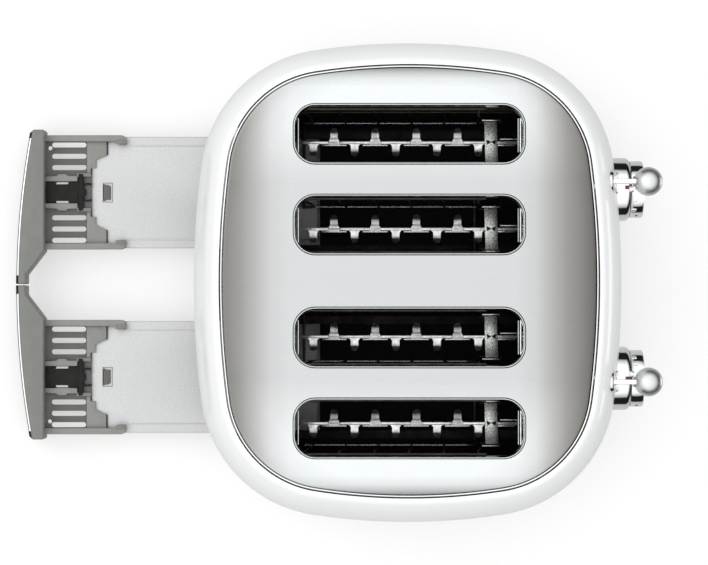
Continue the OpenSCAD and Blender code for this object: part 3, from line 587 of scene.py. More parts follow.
def copied(piece, name, shift=(0, 0, 0), mirror=False):
    """A copy with its own mesh, moved by shift, or mirrored to the other side at -X."""
    twin = piece.copy()
    twin.data = piece.data.copy()
    twin.name = twin.data.name = name
    bpy.context.scene.collection.objects.link(twin)
    if mirror:
        twin.data.transform(Matrix.Scale(-1, 4, (1, 0, 0)))
        twin.data.flip_normals()
    twin.data.transform(Matrix.Translation(shift))
    return twin


def both_sides(piece, name, body, *nodes, slot=None):
    """Shows a piece of side 1 and its mirrored copy on side 2; names get the side's number."""
    twin = copied(piece, f"{name}_2", mirror=True)
    piece.name = piece.data.name = f"{name}_1"
    for number, one in ((1, piece), (2, twin)):
        on = body if body == "root" else f"{body}_{number}"
        show(one, on, *[f"{node}_{number}" for node in nodes], slot=slot)
    return piece, twin


def round_slot(x, y, half_w, half_l, steps=8):
    """Outline of a slot along Y with round ends."""
    points = []
    for end in (1, -1):
        for i in range(steps + 1):
            a = math.pi * i / steps
            points.append((x + end * half_w * math.cos(a),
                           y + end * (half_l - half_w + half_w * math.sin(a))))
    return points


def quarter_curve():
    """Where the three arcs of the body's outline meet, as in the CAD source."""
    side = Vector((HALF_W - SIDE_R, 0))
    front = Vector((0, HALF_D - FRONT_R))
    span = (front - side).length
    near = ((SIDE_R - CORNER_R) ** 2 - (FRONT_R - CORNER_R) ** 2 + span ** 2) / (2 * span)
    rise = math.sqrt((SIDE_R - CORNER_R) ** 2 - near ** 2)
    along = (front - side) / span
    corner = side + near * along + rise * Vector((-along.y, along.x))
    side_end = math.atan2(corner.y - side.y, corner.x - side.x)
    front_start = math.atan2(corner.y - front.y, corner.x - front.x)
    return side, front, corner, side_end, front_start


SIDE_C, FRONT_C, CORNER_C, SIDE_END, FRONT_START = quarter_curve()
SIDE_N, CORNER_N = 10, 26


def quarter_angles():
    arcs = ((0, SIDE_END, SIDE_N), (SIDE_END, FRONT_START, CORNER_N),
            (FRONT_START, math.pi / 2, SIDE_N))
    return [a + (b - a) * i / steps for a, b, steps in arcs for i in range(steps)]


def outline(inset, z):
    """The body's outline moved in by inset, as points at height z."""
    quarter = []
    for a in quarter_angles() + [math.pi / 2]:
        centre, radius = ((SIDE_C, SIDE_R) if a < SIDE_END else
                          (CORNER_C, CORNER_R) if a < FRONT_START else (FRONT_C, FRONT_R))
        quarter.append((centre.x + (radius - inset) * math.cos(a),
                        centre.y + (radius - inset) * math.sin(a)))
    full = quarter[:-1] + [(-x, y) for x, y in reversed(quarter[1:])]
    full += [(-x, -y) for x, y in quarter[:-1]] + [(x, -y) for x, y in reversed(quarter[1:])]
    return [Vector((x, y + BODY_Y, z)) for x, y in full]


def front_at(x, inset=0.0):
    """Distance of the outline's front from the body's middle, at x."""
    return FRONT_C.y + math.sqrt((FRONT_R - inset) ** 2 - x * x)


def wall_inset(z):
    if z < WIDE_Z:
        return TUCK * ((WIDE_Z - z) / (WIDE_Z - SKIRT_TOP)) ** 2
    up = (z - WIDE_Z) / (BODY_TOP - WIDE_Z)
    return SHOULDER * (1 - math.sqrt(max(0, 1 - up * up)))


def slot_ring(grow, z, middle, steps=10):
    """A bread slot's outline, grown by grow."""
    half_w, half_l, radius = SLOT_W / 2 + grow, SLOT_L / 2 + grow, SLOT_R + grow
    ring = []
    for turn, (sx, sy) in enumerate(((1, 1), (-1, 1), (-1, -1), (1, -1))):
        for i in range(steps + 1):
            a = math.radians(90 * turn + 90 * i / steps)
            ring.append(Vector((middle + sx * (half_w - radius) + radius * math.cos(a),
                                BODY_Y + sy * (half_l - radius) + radius * math.sin(a), z)))
    return ring


def show(piece, body, *nodes, slot=None):
    """The piece rides on a body and stands for CAD nodes."""
    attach(piece, body)
    if nodes:
        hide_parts(*nodes)
    return piece


# ---------------------------------------------------------------- covers
def front_cutter(x, z, radius, steps=64, reach=0.0):
    """A round hole through the body's front; reach draws it out into an upright slot."""
    bpy.ops.mesh.primitive_cylinder_add(vertices=steps, radius=radius, depth=0.06,
                                        location=(x, BODY_Y - HALF_D, z),
                                        rotation=(math.pi / 2, 0, 0))
    cutter = settle("cutter", "chrome")
    for vertex in cutter.data.vertices:
        vertex.co.z += reach if vertex.co.z > z else -reach if vertex.co.z < z else 0
    return cutter


def make_shell():
    """Enamelled cover, bulging to its widest at WIDE_Z, with the openings of the controls."""
    outer = [(TUCK * f * f, WIDE_Z - (WIDE_Z - SKIRT_TOP) * f)
             for f in (1 - i / 12 for i in range(13))]
    outer += [(SHOULDER * (1 - math.cos(a)), WIDE_Z + (BODY_TOP - WIDE_Z) * math.sin(a))
              for a in (math.radians(90 * i / 24) for i in range(1, 25))]
    inner = []
    for inset, z in outer[::3]:
        up = max(0, (z - WIDE_Z) / (BODY_TOP - WIDE_Z))
        inner.append((inset + SHELL_WALL * (1 - up), z - SHELL_WALL * up))
    profile = outer + inner[::-1]
    shell = loft("shell", [outline(inset, z) for inset, z in profile], "enamel")
    low, high = LEVER_SPAN
    holes = [(0, (low + high) / 2, LEVER_R + LEVER_RIM, 48, (high - low) / 2 - LEVER_R),
             (0, DIAL * MM, BEZEL_R)]
    holes += [(i * BUTTON_PITCH, BUTTON_Z, BUTTON_R) for i in (-1, 0, 1)]
    for side in (SIDE_X, -SIDE_X):
        for across, *size in holes:
            cut_away(shell, front_cutter(side + across, *size))
    show(smooth(shell, 40), "root", "body_shell", slot="enamel")


def make_panel():
    """Satin panel with a rolled edge, cut clear of the slot lips."""
    edge = [(PANEL_IN, PANEL_Z - 9 * MM), (PANEL_IN, PANEL_Z - 0.9 * MM),
            (PANEL_IN + 0.25 * MM, PANEL_Z - 0.3 * MM), (PANEL_IN + 0.9 * MM, PANEL_Z),
            (PANEL_IN + 2.0 * MM, PANEL_Z)]
    rings = [outline(inset, z) for inset, z in edge]
    panel = loft("panel", rings, "satin", closed=False)
    activate(panel)
    bpy.ops.object.mode_set(mode="EDIT")
    bpy.ops.mesh.select_all(action="DESELECT")
    mesh = bmesh.from_edit_mesh(panel.data)
    mesh.verts.ensure_lookup_table()
    for vertex in mesh.verts[-len(rings[0]):]:
        vertex.select = True
    mesh.select_flush(True)
    bmesh.update_edit_mesh(panel.data)
    bpy.ops.mesh.edge_face_add()
    close_mesh()
    apply(panel, "SOLIDIFY", thickness=1.2 * MM, offset=-1)
    gap = 0.45 * MM
    for middle in SLOTS:
        rings = [slot_ring(LIP_WALL + gap, PANEL_Z + up * MM, middle) for up in (-20, 20)]
        cut_away(panel, close_ends(loft("cutter", rings, "satin", closed=False)))
    show(smooth(panel, 30), "root", "top_panel", slot="satin_steel")


def make_lips():
    """Rolled lips: a narrow bead over a polished collar round each slot, with end tabs."""
    lips = []
    low, half = PANEL_Z - 15 * MM, LIP_WALL / 2
    profile = [(LIP_WALL, PANEL_Z - 6 * MM), (LIP_WALL, PANEL_Z)]
    for i in range(1, 12):
        a = math.radians(180 * i / 12)
        profile.append((half + half * math.cos(a), PANEL_Z + LIP_RISE * math.sin(a)))
    profile += [(0, PANEL_Z), (0, low), (0.6 * MM, low), (0.6 * MM, PANEL_Z - 6 * MM)]
    for middle in SLOTS:
        rings = [slot_ring(grow, z, middle) for grow, z in profile]
        lips.append(loft("slot_lip", rings, "polish"))
        x, slot_end = middle / MM, SLOT_L / MM / 2
        for end, near, far in ((-1, 2.9, 2.5), (-1, 1.6, 0.8), (1, 2.0, 1.5)):
            low_y, high_y = sorted((end * (slot_end - near), end * (slot_end - far)))
            lips.append(brick("end_tab", (x - 11, low_y, 183.2), (x + 11, high_y, 185), "zinc",
                              0.15))
    show(smooth(join(lips, "slot_lips"), 60), "root", "slot_lips", slot="satin_steel")


def make_trim():
    """Bright bead between the body and the panel, with a low ledge inside it."""
    profile = [(TRIM_IN, BODY_TOP - 6 * MM)]
    for i in range(9):
        a = math.radians(180 - 180 * i / 8)
        profile.append((TRIM_IN + TRIM_W / 2 + TRIM_W / 2 * math.cos(a),
                        BODY_TOP + 1.1 * MM * math.sin(a)))
    profile += [(TRIM_IN + TRIM_W, BODY_TOP - 4.8 * MM), (PANEL_IN, BODY_TOP - 4.8 * MM),
                (PANEL_IN, BODY_TOP - 6 * MM)]
    trim = loft("trim_bead", [outline(inset, z) for inset, z in profile], "chrome")
    show(smooth(trim, 50), "root", "trim_ring", slot="chrome")


def make_skirt():
    """Bright band round the foot of the body, open where the trays come out."""
    profile = [(9.5, 8), (6.6, 8), (6.1, 8.5), (6.0, 9.2), (6.0, 12.0), (6.4, 12.4), (6.4, 13.0),
               (6.0, 13.4), (6.0, 33.2), (6.5, 33.9), (8.3, 34), (8.3, 38), (9.5, 38)]
    skirt = loft("base_band", [outline(inset * MM, z * MM) for inset, z in profile], "chrome")
    cut_away(skirt, brick("cutter", (-110, 20, -5), (110, 220, 60), "chrome"))
    show(smooth(skirt, 30), "root", "base_skirt", slot="chrome")


make_shell()
make_panel()
make_lips()
make_trim()
make_skirt()


# ---------------------------------------------------------------- underside
FOOT_X, FOOT_Y = 108, 101.4                    # in millimetres, as the next two
SCREW_X, SCREW_Y = 117.4, 85.2
GLAND_Y = -60


def make_feet():
    profile = [(9.4, 0), (10.5, 0.3), (11.0, 1.2), (11.3, 4.2), (11.7, 4.6), (12.0, 5.4),
               (12.0, 7.5), (11.5, 8.0)]
    feet = [spun("foot", profile, (x, y, 0), UP, "rubber")
            for x in (FOOT_X, -FOOT_X) for y in (FOOT_Y, -FOOT_Y)]
    show(join(feet, "rubber_feet"), "root", "feet", slot="foot_rubber")


def make_screws():
    """Domed heads with a cross cut into each."""
    _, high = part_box("screws")
    profile = [(1.6, high.z / MM), (1.6, 8.0), (3.2, 8.0), (3.2, 7.3), (2.8, 6.6), (2.0, 6.15),
               (1.0, 6.02)]
    screws = []
    for x in (-SCREW_X, 0, SCREW_X):
        for y in (-SCREW_Y, SCREW_Y):
            head = spun("screw", profile, (x, y, 0), UP, "steel", 32)
            for wide, deep in ((1.9, 0.35), (0.35, 1.9)):
                cut_away(head, brick("cutter", (x - wide, y - deep, 5),
                                     (x + wide, y + deep, 7.0), "steel"))
            screws.append(smooth(head))
    show(join(screws, "screws_visual"), "root", "screws", slot="spring_steel")


def make_gland():
    """Flanged bush in the base plate, where the cord comes out."""
    profile = [(4, 4.4), (4.4, 4), (9.4, 4), (10, 4.6), (10, 7.4), (9.5, 8), (7, 8), (7, 10),
               (9.5, 10), (10, 10.5), (10, 12.5), (9.4, 13), (7, 13), (7, 14), (4, 14)]
    gland = bored("cord_outlet_gland", profile, (0, GLAND_Y, 0), UP, "black")
    show(gland, "root", "cord_gland", slot="black_plastic")


make_feet()
make_screws()
make_gland()


# ---------------------------------------------------------------- works
# In millimetres, with the levers up
RAIL_LOW, RAIL_FRONT, RAIL_BACK = 104, -85.2, 71
TAB_PITCH, TAB_THICK = 27.7, 0.8
ROD_X, ROD_Y = 24, -91.4                       # guide rods, from a side's middle
SPRING_FOOT = 11.2
BALL_Y, BALL_Z = -156.1, 170


def make_magnets():
    """A core in a wound bobbin on a foot, at each side."""
    y = -93.4
    wound = [(4, 13), (9, 13), (9, 14.4), (8.4, 14.4)]
    for turn in range(29):
        wound += [(8.6, 14.7 + turn), (8.4, 15.2 + turn)]
    wound += [(9, 43.9), (9, 45.4), (4, 45.4)]
    magnets = []
    for x in (SIDE, -SIDE):
        magnets += [brick("magnet", (x - 12, y - 6, 10), (x + 12, y + 6, 13), "zinc", 0.5),
                    spun("core", [(4, 13), (4, 47.9), (3.5, 48.4)], (x, y, 0), UP, "steel"),
                    spun("winding", wound, (x, y, 0), UP, "copper", 40, 50)]
    show(join(magnets, "magnet_coils"), "root", "electromagnets", slot="coil")


def make_rail(x):
    """Sheet web with a broken top flange; tabs leave it on both sides and turn up at their tips."""
    parts = [brick("web", (x - 0.6, RAIL_FRONT, RAIL_LOW), (x + 0.6, RAIL_BACK, 114.6), "zinc",
                   0.2)]
    upper = [-33.95 + TAB_PITCH * i for i in range(4)]
    lower = [-47.8 + TAB_PITCH * i for i in range(5)]

    def spans(tabs, room):
        """What the tabs leave free between the flange's ends."""
        return zip([-75] + [y + room for y in tabs], [y - room for y in tabs] + [RAIL_BACK])

    for start, end in spans(upper, 3.9):
        parts.append(brick("flange", (x - 1.2, start, 114), (x + 1.0, end, 115), "zinc", 0.25))
    for start, end in list(spans(lower, 3.4))[:-1]:    # the last gap is too short for one
        parts.append(brick("ledge", (x - 2.4, start + 2, 113.2), (x - 1.2, end - 2, 113.8),
                           "steel", 0.2))
    parts.append(brick("ledge", (x + 1.9, -80, 113.6), (x + 2.7, -62.5, 114.2), "zinc", 0.2))
    # Each station of a tab is (distance from the web, height, half width)
    tip = [(6.0, 115.0, 2.5), (6.8, 115.35, 2.5), (7.6, 116.0, 2.4), (8.4, 116.9, 2.15),
           (9.0, 117.6, 1.6), (9.4, 118.0, 0.8)]
    root = [(0.6, 115.0, 4.3), (1.4, 115.0, 3.4), (2.2, 115.0, 2.75), (3.0, 115.0, 2.5)]
    neck = [(-1.0, 114.2, 3.6), (1.2, 114.3, 3.4), (2.6, 114.6, 2.6), (3.8, 114.9, 2.5)]
    for y in lower:
        stations = [(-along, height, half) for along, height, half in root + tip]
        parts.append(smooth(strap("tab", stations, x, y, TAB_THICK, "zinc")))
    for y in upper:
        parts.append(brick("foot", (x - 1.8, y - 4.4, 113.0), (x + 0.2, y + 4.4, 113.6), "steel",
                           0.2))
        parts.append(smooth(strap("tab", neck + tip, x, y, TAB_THICK, "zinc")))
    return join(parts)


def make_strips():
    """Speckled cross strip with a notched clip at each end."""
    parts = []
    y = -56.5
    for x in (SLOTS[0] / MM, SLOTS[1] / MM):
        parts.append(slab("strip", [(x - 14, y - 4.7), (x + 14.0, y - 3.9), (x + 14.0, y + 4.7),
                                    (x - 14, y + 3.9)], 115.0, 116.0, "speckle", 0.3))
        for end in (-1, 1):
            parts += [brick("clip", (x + end * 15 - 0.7, y - 6.1, 115.0),
                            (x + end * 15 + 0.1 * end + 0.5, y + 6.1, 115.8), "steel", 0.3),
                      brick("clip", (x + end * 13.4 - 0.5, y - 7.9, 115.2),
                            (x + end * 13.4 + 0.5, y + 7.9, 115.7), "baked_and_shade", 0.2)]
        # Flat black triangles on the strip are painted shadow, standing in for a twisted tab and
        # its slit.
        for end in (-1, 1):
            mark = [(x + 0.4, y), (x + 1.9, y + end * 3.4), (x - 1.7, y + end * 2.6)]
            parts.append(slab("mark", mark, 115.9, 116.1, "black"))
    return join(parts)


def make_lift(x):
    """Pressed carriage: crossbar, riser and keeper, sleeves on the rods and the chrome arm."""
    back, front = RAIL_FRONT, RAIL_FRONT - 1.2
    parts = [brick("bar", (x - 35.1, front, RAIL_LOW), (x + 35.1, back, 117), "zinc", 0.4),
             brick("riser", (x - 10, front, 115), (x + 10, back, 174), "zinc", 0.4),
             brick("keeper", (x - 12, -102.4, RAIL_LOW), (x + 12, back, 106), "zinc", 0.5),
             brick("arm", (x - 1.6, BALL_Y, 166), (x + 1.6, back, 174), "chrome", 0.5, 3)]
    sleeve = [(2.8, 104), (4.6, 104), (5, 104.4), (5, 116.6), (4.6, 117), (2.8, 117)]
    for rod_x in (x - ROD_X, x + ROD_X):
        parts.append(bored("sleeve", sleeve, (rod_x, ROD_Y, 0), UP, "zinc", 32))
    return join(parts)


def make_ball(x):
    """Satin ball with a short neck where the arm enters it, and a curled clip beside it."""
    bpy.ops.mesh.primitive_uv_sphere_add(segments=72, ring_count=48, radius=9.4 * MM,
                                         location=at(x, BALL_Y, BALL_Z))
    ball = smooth(settle("ball", "satin_ball"), 60)
    neck = spun("neck", [(3.4, 147.2), (3.6, 146.9), (3.6, 146.4), (3.2, 146.1), (2.9, 145.9)],
                (x, 0, BALL_Z), FORWARD, "chrome", 40, 50)
    collar = spun("collar", [(1.5, 146.6), (1.9, 145.9), (1.9, 144.2), (1.4, 143.6)],
                  (x - 5.2, 0, BALL_Z + 2), FORWARD, "chrome", 24, 50)
    return join([ball, neck, collar])


def make_spring(x):
    """An open coil round the outer guide rod."""
    turns, wire, coil_r = 17, 0.45, 3.7
    pitch = (RAIL_LOW - SPRING_FOOT - 2 * wire) / turns
    bpy.ops.mesh.primitive_circle_add(vertices=10, radius=wire * MM,
                                      location=at(x + coil_r, ROD_Y, SPRING_FOOT + wire),
                                      rotation=(math.pi / 2, 0, 0))
    spring = settle("lift_coil", "steel")
    spring.data.transform(Matrix.Translation(-at(x, ROD_Y, 0)))
    apply(spring, "SCREW", angle=2 * math.pi, screw_offset=pitch * MM, iterations=turns, steps=24,
          render_steps=24, use_normal_calculate=True)
    spring.data.transform(Matrix.Translation(at(x, ROD_Y, 0)))
    return smooth(close_ends(spring), 60)


def make_guards(number):
    """Two wire grids that share a bar; the uprights kink sideways half way down."""
    away, bar_y, post_y = (1, 70, 65) if number % 2 else (-1, -50, -50)
    xs = [middle / MM + away * 17.5 for middle in (SLOTS[:2] if number < 3 else SLOTS[2:])]
    low, high = 52, 180
    parts = []
    for x in xs:
        for i in range(6):
            y = -46 + 22.8 * i
            points = [at(x, y, high), at(x, y, 150), at(x - away * 0.3, y - 0.5, 140),
                      at(x - away * 0.6, y - 3.2, 112), at(x - away * 0.3, y - 3.7, 104),
                      at(x, y - 3.7, low)]
            parts.append(tube("wire", points, 0.75 * MM, "wire", 8))
        for z, finish in ((low, "steel"), (high, "wire")):
            parts.append(tube("wire", [at(x, -50, z), at(x, 70, z)], 0.95 * MM, finish))
        parts.append(brick("upright", (x - 0.6, post_y, 36), (x + 0.6, post_y + 7, 55), "wire",
                           0.2))
    parts.append(brick("bar", (min(xs) - 0.6, bar_y, 31), (max(xs) + 0.6, bar_y + 2, 36), "wire",
                       0.3))
    return join(parts, f"wire_guards_{number}")


make_magnets()
rail = make_rail(SLOTS[0] / MM)
for number, middle in enumerate(SLOTS, 1):
    one = copied(rail, f"slice_rail_{number}", (middle - SLOTS[0], 0, 0))
    show(one, "carriage_1" if number < 3 else "carriage_2", f"bread_rail_{number}",
         slot="galvanised")
bpy.data.objects.remove(rail)
strips = make_strips()
show(copied(strips, "cross_strips_2", (-2 * SIDE_X, 0, 0)), "carriage_2", "rail_strips_2",
     slot="strip")
strips.name = "cross_strips_1"
show(strips, "carriage_1", "rail_strips_1", slot="strip")
both_sides(make_lift(SIDE), "lift_carriage", "carriage", "lift_frame", slot="galvanised")
both_sides(make_ball(SIDE), "lever_knob", "carriage", "lever_ball", slot="chrome")
springs = both_sides(make_spring(SIDE + ROD_X), "lift_coil", "root", "lift_spring",
                     slot="spring_steel")
for number, spring in enumerate(springs, 1):
    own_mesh(spring)
for number in (1, 2, 3, 4):
    show(make_guards(number), f"guards_{number}", f"bread_guards_{number}", slot="guard_wire")


# ---------------------------------------------------------------- controls
def make_dial_bezel(x):
    profile = [(3.4, 125.6), (21.8, 125.6), (21.85, 151.0), (21.4, 152.4), (20.9, 153.2),
               (20.3, 153.7), (19.95, 153.6), (19.9, 151.8), (3.4, 151.8)]
    return bored("bezel", profile, (x, 0, DIAL), FORWARD, "chrome", 96)


def make_dial(x):
    """Knob with a rounded rim, a dished face, a pointer, and a black spot on its rim as painted
    shade of a hollow.
    """
    knob = spun("knob", [(18.8, 154.4), (19.4, 154.6), (19.6, 155.1), (19.6, 162.1), (19.4, 162.8),
                         (18.9, 163.25), (18.2, 163.4), (17.2, 163.3), (16.6, 162.9),
                         (15.8, 162.75), (3, 162.6)], (x, 0, DIAL), FORWARD, "chrome", 96, 30)
    shaft = spun("shaft", [(3, 117.6), (3, 154.6)], (x, 0, DIAL), FORWARD, "steel", 32)
    pointer = brick("pointer", (x - 0.6, -163.0, 67), (x + 0.6, -162.4, 76.5), "black", 0.2)
    # A black spot on the rim is painted shade, standing in for a hollow; no hollow is cut.
    turn = math.radians(70)
    painted_dimple_shade = spun("painted_dimple_shade", [(0.95, 19.0), (0.95, 19.66)], (x, -158.8, DIAL),
                  (-math.sin(turn), 0, math.cos(turn)), "black", 24)
    return join([knob, shaft, pointer, painted_dimple_shade])


def make_lever_bezel(side):
    """A rounded rim round the lever's slot, following the body's upright curve."""
    front = front_at(SIDE_X)
    low, high = LEVER_SPAN
    middle, half = (high + low) / 2, (high - low) / 2 - LEVER_R
    back = front - wall_inset(high + LEVER_RIM) - 6 * MM

    def ring(grow, out):
        radius = LEVER_R + grow
        flat = []
        for end in (1, -1):
            flat += [(end * radius * math.cos(math.pi * i / 12),
                      end * (half + radius * math.sin(math.pi * i / 12))) for i in range(13)]
            flat += [(-end * radius, end * (half - 2 * half * i / 16)) for i in range(1, 16)]
        points = []
        for x, z in flat:
            place = back if out is None else front - wall_inset(middle + z) + out
            points.append(Vector((side * MM + x, BODY_Y - place, middle + z)))
        return points

    profile = [(0, None), (0, 1.0), (0.4, 1.55), (1.2, 1.8), (2.7, 1.8), (3.5, 1.55), (3.95, 1.0),
               (3.95, None)]
    rings = [ring(grow * MM, None if out is None else out * MM) for grow, out in profile]
    return smooth(loft("lever_rim", rings, "chrome"), 50)


def make_button(number):
    """Small domed push button on its stem."""
    low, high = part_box(f"button_{number}")
    x, z = (low.x + high.x) / 2 / MM, (low.z + high.z) / 2 / MM
    front, back = (BODY_Y - low.y) / MM, (BODY_Y - high.y) / MM
    button = spun("cap", [(1.5, back), (1.5, 125.6), (4, 125.6), (4, front - 0.9),
                          (3.8, front - 0.45), (3.3, front - 0.12), (2.4, front), (1.2, front)],
                  (x, 0, z), FORWARD, "chrome", 40)
    button.name = f"push_button_{number}"
    show(button, f"button_{number}", f"button_{number}", slot="chrome")


both_sides(make_dial_bezel(SIDE), "dial_ring", "root", "dial_bezel", slot="chrome")
both_sides(make_lever_bezel(SIDE), "lever_rim", "root", "lever_bezel", slot="chrome")
dial = make_dial(SIDE)
show(copied(dial, "dial_knob_2", (-2 * SIDE_X, 0, 0)), "dial_2", "dial_2", slot="chrome")
dial.name = "dial_knob_1"
show(dial, "dial_1", "dial_1", slot="chrome")
for number in range(1, 7):
    make_button(number)
marks = [brick("mark", (x - 0.9, -153.75, 82.9), (x + 1.7, -149.8, 84.3), "red", 0.3, 3)
         for x in (SIDE, -SIDE)]
show(join(marks, "red_marks"), "root", "dial_markers", slot="red_plastic")

# ---------------------------------------------------------------- crumb trays
# In millimetres, with the trays pulled out; u is a distance from a tray's middle
PLATE_LOW, PLATE_TOP = 18.5, 19.3
PLATE_INNER, PLATE_OUTER = 60, 215
HANDLE_BACK, HANDLE_TOP = 254.06, 33.5
BOW_R, BOW_MIDDLE = 601, -326                  # the bow of a handle's front


def placed(x, points, end=1):
    """Outline points (u, y) set at a tray, mirrored for end -1."""
    return [(x + end * u, y) for u, y in points]


def make_tray(x):
    """Sheet plate with hemmed sides, turned-up edges and a window for the handle's tab."""
    shape = [(-39.5, PLATE_INNER), (39.5, PLATE_INNER), (39.5, PLATE_OUTER), (30, PLATE_OUTER),
             (30, 222.3), (-30, 222.3), (-30, PLATE_OUTER), (-39.5, PLATE_OUTER)]
    plate = slab("plate", placed(x, shape), PLATE_LOW, PLATE_TOP, "sheet", 0.15)
    window = placed(x, [(-6.7, 207), (6.7, 207), (6.7, 213.7), (-6.7, 213.7)])
    parts = [smooth(cut_away(plate, slab("cutter", window, 10, 30, "sheet")))]
    # Thin near-black strips round the window are painted shade on its cut edge.
    for u0, y0, u1, y1 in ((-6.9, 206.8, -6.6, 213.9), (6.6, 206.8, 6.9, 213.9),
                           (-6.6, 206.8, 6.6, 207.1), (-6.6, 213.6, 6.6, 213.9)):
        parts.append(brick("window_edge", (x + u0, y0, 18.6), (x + u1, y1, 19.36), "baked_and_shade"))
    for end in (-1, 1):
        edge, hem = x + end * 33.3, x + end * 39.1
        # Each side gets a turned-up wall and a near-black hem; the hem's dark colour is a painted
        # shadow line along the plate's edge.
        parts += [brick("wall", (edge - 0.4, PLATE_INNER, 19), (edge + 0.4, 201, 19.9), "sheet",
                        0.3),
                  tube("hem", [at(hem, 60.6, 18.9), at(hem, 214.6, 18.9)], 0.42 * MM, "baked_and_shade")]
    parts.append(brick("wall", (x - 33.3, PLATE_INNER, 19), (x + 33.3, 60.8, 22.3), "sheet", 0.3))
    return join(parts)


def front_line(x, inward=0.0):
    """The handle's bowed front, in mm from the body's middle."""
    return BOW_MIDDLE + math.sqrt(BOW_R ** 2 - x * x) - inward


def make_handle(x):
    """Moulded front block with a slotted floor behind it, two arms and the latch's guide rails."""
    def front(inward):
        return [(u, front_line(u, inward)) for u in (0.5 + 108.5 * i / 24 for i in range(25))]

    back = HANDLE_BACK
    upper = front(3.0) + [(109, back), (24, back), (7, back + 13), (0.5, back + 13)]
    lower = front(0.2) + [(109, back + 1), (26, back + 1), (8, back + 14), (0.8, back + 14)]
    parts = [slab("front", upper, 10.4, HANDLE_TOP, "grey", 0.9, 3),
             slab("front_foot", lower, 10.4, 18.8, "grey", 0.6)]
    shape = [(-37.1, 215.1), (-30.1, 215.1), (-30.1, 222.4), (30.1, 222.4), (30.1, 215.1),
             (37.1, 215.1), (37.1, 254.5), (-37.1, 254.5)]
    floor = slab("floor", placed(x, shape), 16.5, PLATE_TOP, "deep")
    cutters = [spun("cutter", [(1.5, 10), (1.5, 30)], (x + 31.5, 251.2, 0), UP, "deep", 20)]
    for end in (-1, 1):
        slit = placed(x, [(5.9, 237.6), (7.4, 238.4), (7.4, 246.6), (5.9, 247.4)], end)
        drains = [round_slot(x + end * (17.8 + 8 * k), 237.8, 1.8, 12.25) for k in range(3)]
        cutters += [slab("cutter", hole, 10, 30, "deep") for hole in [slit] + drains]
    parts.append(smooth(bevel(cut_away(floor, join(cutters)), 0.25 * MM, 2)))
    tab = [(-5.2, 208.2), (4.2, 208.2), (5.4, 209.6), (5.4, 213.2), (-5.2, 213.2)]
    parts += [brick("tongue", (x - 6, 212, 16.5), (x + 6, 223, 18.4), "grey", 0.3),
              slab("tab", placed(x, tab), 17.0, 20.0, "deep", 0.4),
              brick("latch_box", (x - 11.4, 221.6, 19.2), (x + 11.4, 227.4, 21.2), "deep", 0.4)]
    step = [(37.1, 225), (37.1, 211), (26.5, 211), (23.0, 218.6), (17.3, 218.6), (17.3, 222.2),
            (11, 222.2), (11, 225)]
    arm = [(36.0, 255), (36.0, 203.6), (34.2, 203.2), (33.6, 202.2), (33.6, 198.4), (34.4, 197.3),
           (36.6, 197.0), (38.6, 197.3), (39.9, 198.4), (40.4, 200.4), (40.4, 255)]
    rail = [(7.7, 254.5), (7.7, 231.4), (11.6, 231.4), (11.6, 238.2), (12.9, 239.4),
            (12.9, 245.0), (11.6, 246.2), (11.2, 254.5)]
    # Small blocks: name, low and high corner as (u, y, z), finish and edge
    # The two thin black blocks are painted shadow lines along the step's raised edges.
    blocks = [("seam", (26.6, 210.4, 19.2), (37.0, 210.9, 20.8), "black", 0),
              ("seam", (11.2, 221.6, 19.2), (17.0, 222.1, 20.8), "black", 0),
              ("pad", (33.9, 198.0, 24.1), (37.4, 204.2, 24.5), "grey", 0.3),
              ("arm_foot", (37.2, 215, 18.5), (40.4, 255, 19.6), "grey", 0.3),
              ("cheek", (11.0, 221.8, 19.2), (13.6, 232.0, 23.0), "grey", 0.4)]
    for end in (-1, 1):
        parts += [slab("step", placed(x, step, end), PLATE_TOP, 21.3, "pale", 0.45),
                  slab("arm", placed(x, arm, end), 19.4, 24.3, "pale", 0.7, 3),
                  slab("rail", placed(x, rail, end), 19.2, 23.4, "pale", 0.5)]
        for name, (u0, y0, z0), (u1, y1, z1), finish, edge in blocks:
            x0, x1 = sorted((x + end * u0, x + end * u1))
            parts.append(brick(name, (x0, y0, z0), (x1, y1, z1), finish, edge))
    return join(parts)


def make_strip():
    """Bright bead let into the handle's front, with black ends."""
    back, low, high = -2.3, 18.95, 24.95
    shape = [(back, low)]
    for k in range(11):
        a = math.radians(180 * k / 10 - 90)
        shape.append((-1.9 + 1.88 * math.cos(a), (low + high) / 2 + 3 * math.sin(a)))
    shape.append((back, high))

    def bead(name, x0, x1, finish, steps):
        rings = []
        for i in range(steps + 1):
            x = x0 + (x1 - x0) * i / steps
            rings.append([at(x, front_line(x) + out, z) for out, z in shape])
        return smooth(close_ends(loft(name, rings, finish, closed=False)), 60)

    return join([bead("bead", 6.6, 103.5, "chrome", 40), bead("cap", 0.6, 6.5, "black", 4),
                 bead("cap", 103.6, 107.6, "black", 3)])


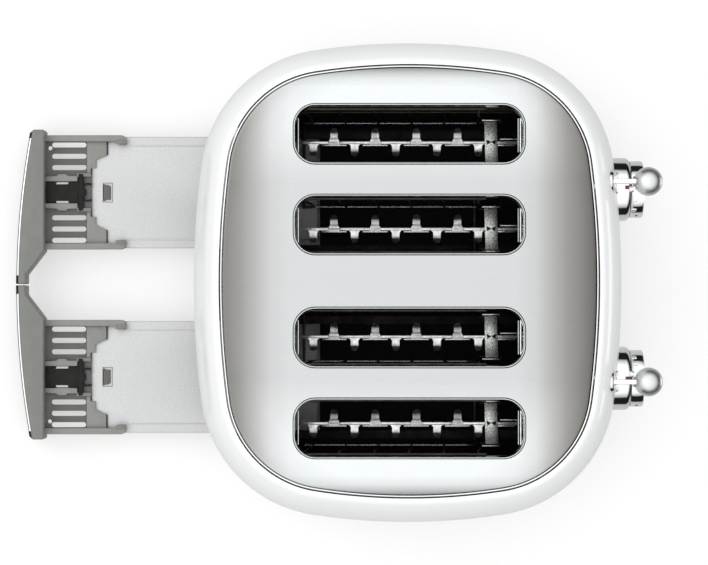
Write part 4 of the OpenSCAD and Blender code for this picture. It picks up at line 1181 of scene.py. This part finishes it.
def make_latch(x):
    """Push latch with notched sides, a wide wing and two curved prongs."""
    def doubled(half):
        """An outline from its right half, which runs from the bottom up."""
        return placed(x, half + [(-u, y) for u, y in reversed(half)])

    body = [(7.2, 230.5), (7.2, 237.6), (5.7, 238.2), (5.7, 246.8), (7.2, 247.4), (7.2, 254)]
    wing = [(2.2, 225.4), (3, 227.2), (10.5, 227.2), (13, 227.8), (13, 230.6)]
    prong = [(4.2, 228.5), (5.4, 226.6), (6.0, 224.6), (5.9, 222.6), (5.2, 221.4)]
    parts = [slab("latch", doubled(body), 19.5, 24.2, "black", 0.5),
             slab("wing", doubled(wing), 20.6, 24.4, "black", 0.4)]
    for end in (-1, 1):
        points = [at(u, y, 23.2) for u, y in placed(x, prong, end)]
        parts.append(tube("prong", points, 0.7 * MM, "black", 8))
    return join(parts)


both_sides(make_tray(SIDE), "tray_plate", "tray", "crumb_tray", slot="tray_steel")
both_sides(make_handle(SIDE), "tray_grip", "tray", "tray_handle", slot="grey_plastic")
both_sides(make_strip(), "tray_bead", "tray", "tray_trim", slot="chrome")
both_sides(make_latch(SIDE), "push_latch", "latch", "tray_latch", slot="black_plastic")

# ---------------------------------------------------------------- finishes of the CAD nodes
# The chassis, panel frame and tray guides take the near-black sheet, darkened partly as painted
# shade for the inside of the slots.
CAD_FINISH = {
    "base_plate": "black", "chassis_front": "baked_and_shade", "chassis_rear": "baked_and_shade",
    "panel_frame": "baked_and_shade", "tray_guides": "baked_and_shade", "heater_boards_inner": "mica",
    "heater_boards_middle": "mica", "heater_boards_outer": "mica", "heating_wires": "ribbon",
    "guide_rods": "steel", "control_boards": "board", "dial_pots": "black",
}
for node, finish in CAD_FINISH.items():
    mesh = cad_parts[node].data
    mesh.materials.clear()
    mesh.materials.append(FINISH[finish])


# ---------------------------------------------------------------- floor
def make_floor():
    bpy.ops.mesh.primitive_plane_add(size=12, location=(0, BODY_Y, 0))
    floor = bpy.context.object
    floor.name = "floor"
    paper = Finish("pale_paper", (0.50, 0.50, 0.495), 0.9)
    paper.vary_color(paper.noise(4, 3), 0.01)
    paper.shader.inputs["Emission Color"].default_value = (1.0, 1.0, 0.995, 1)
    paper.shader.inputs["Emission Strength"].default_value = 0.47
    floor.data.materials.append(paper.material)
    floor.visible_glossy = False


make_floor()
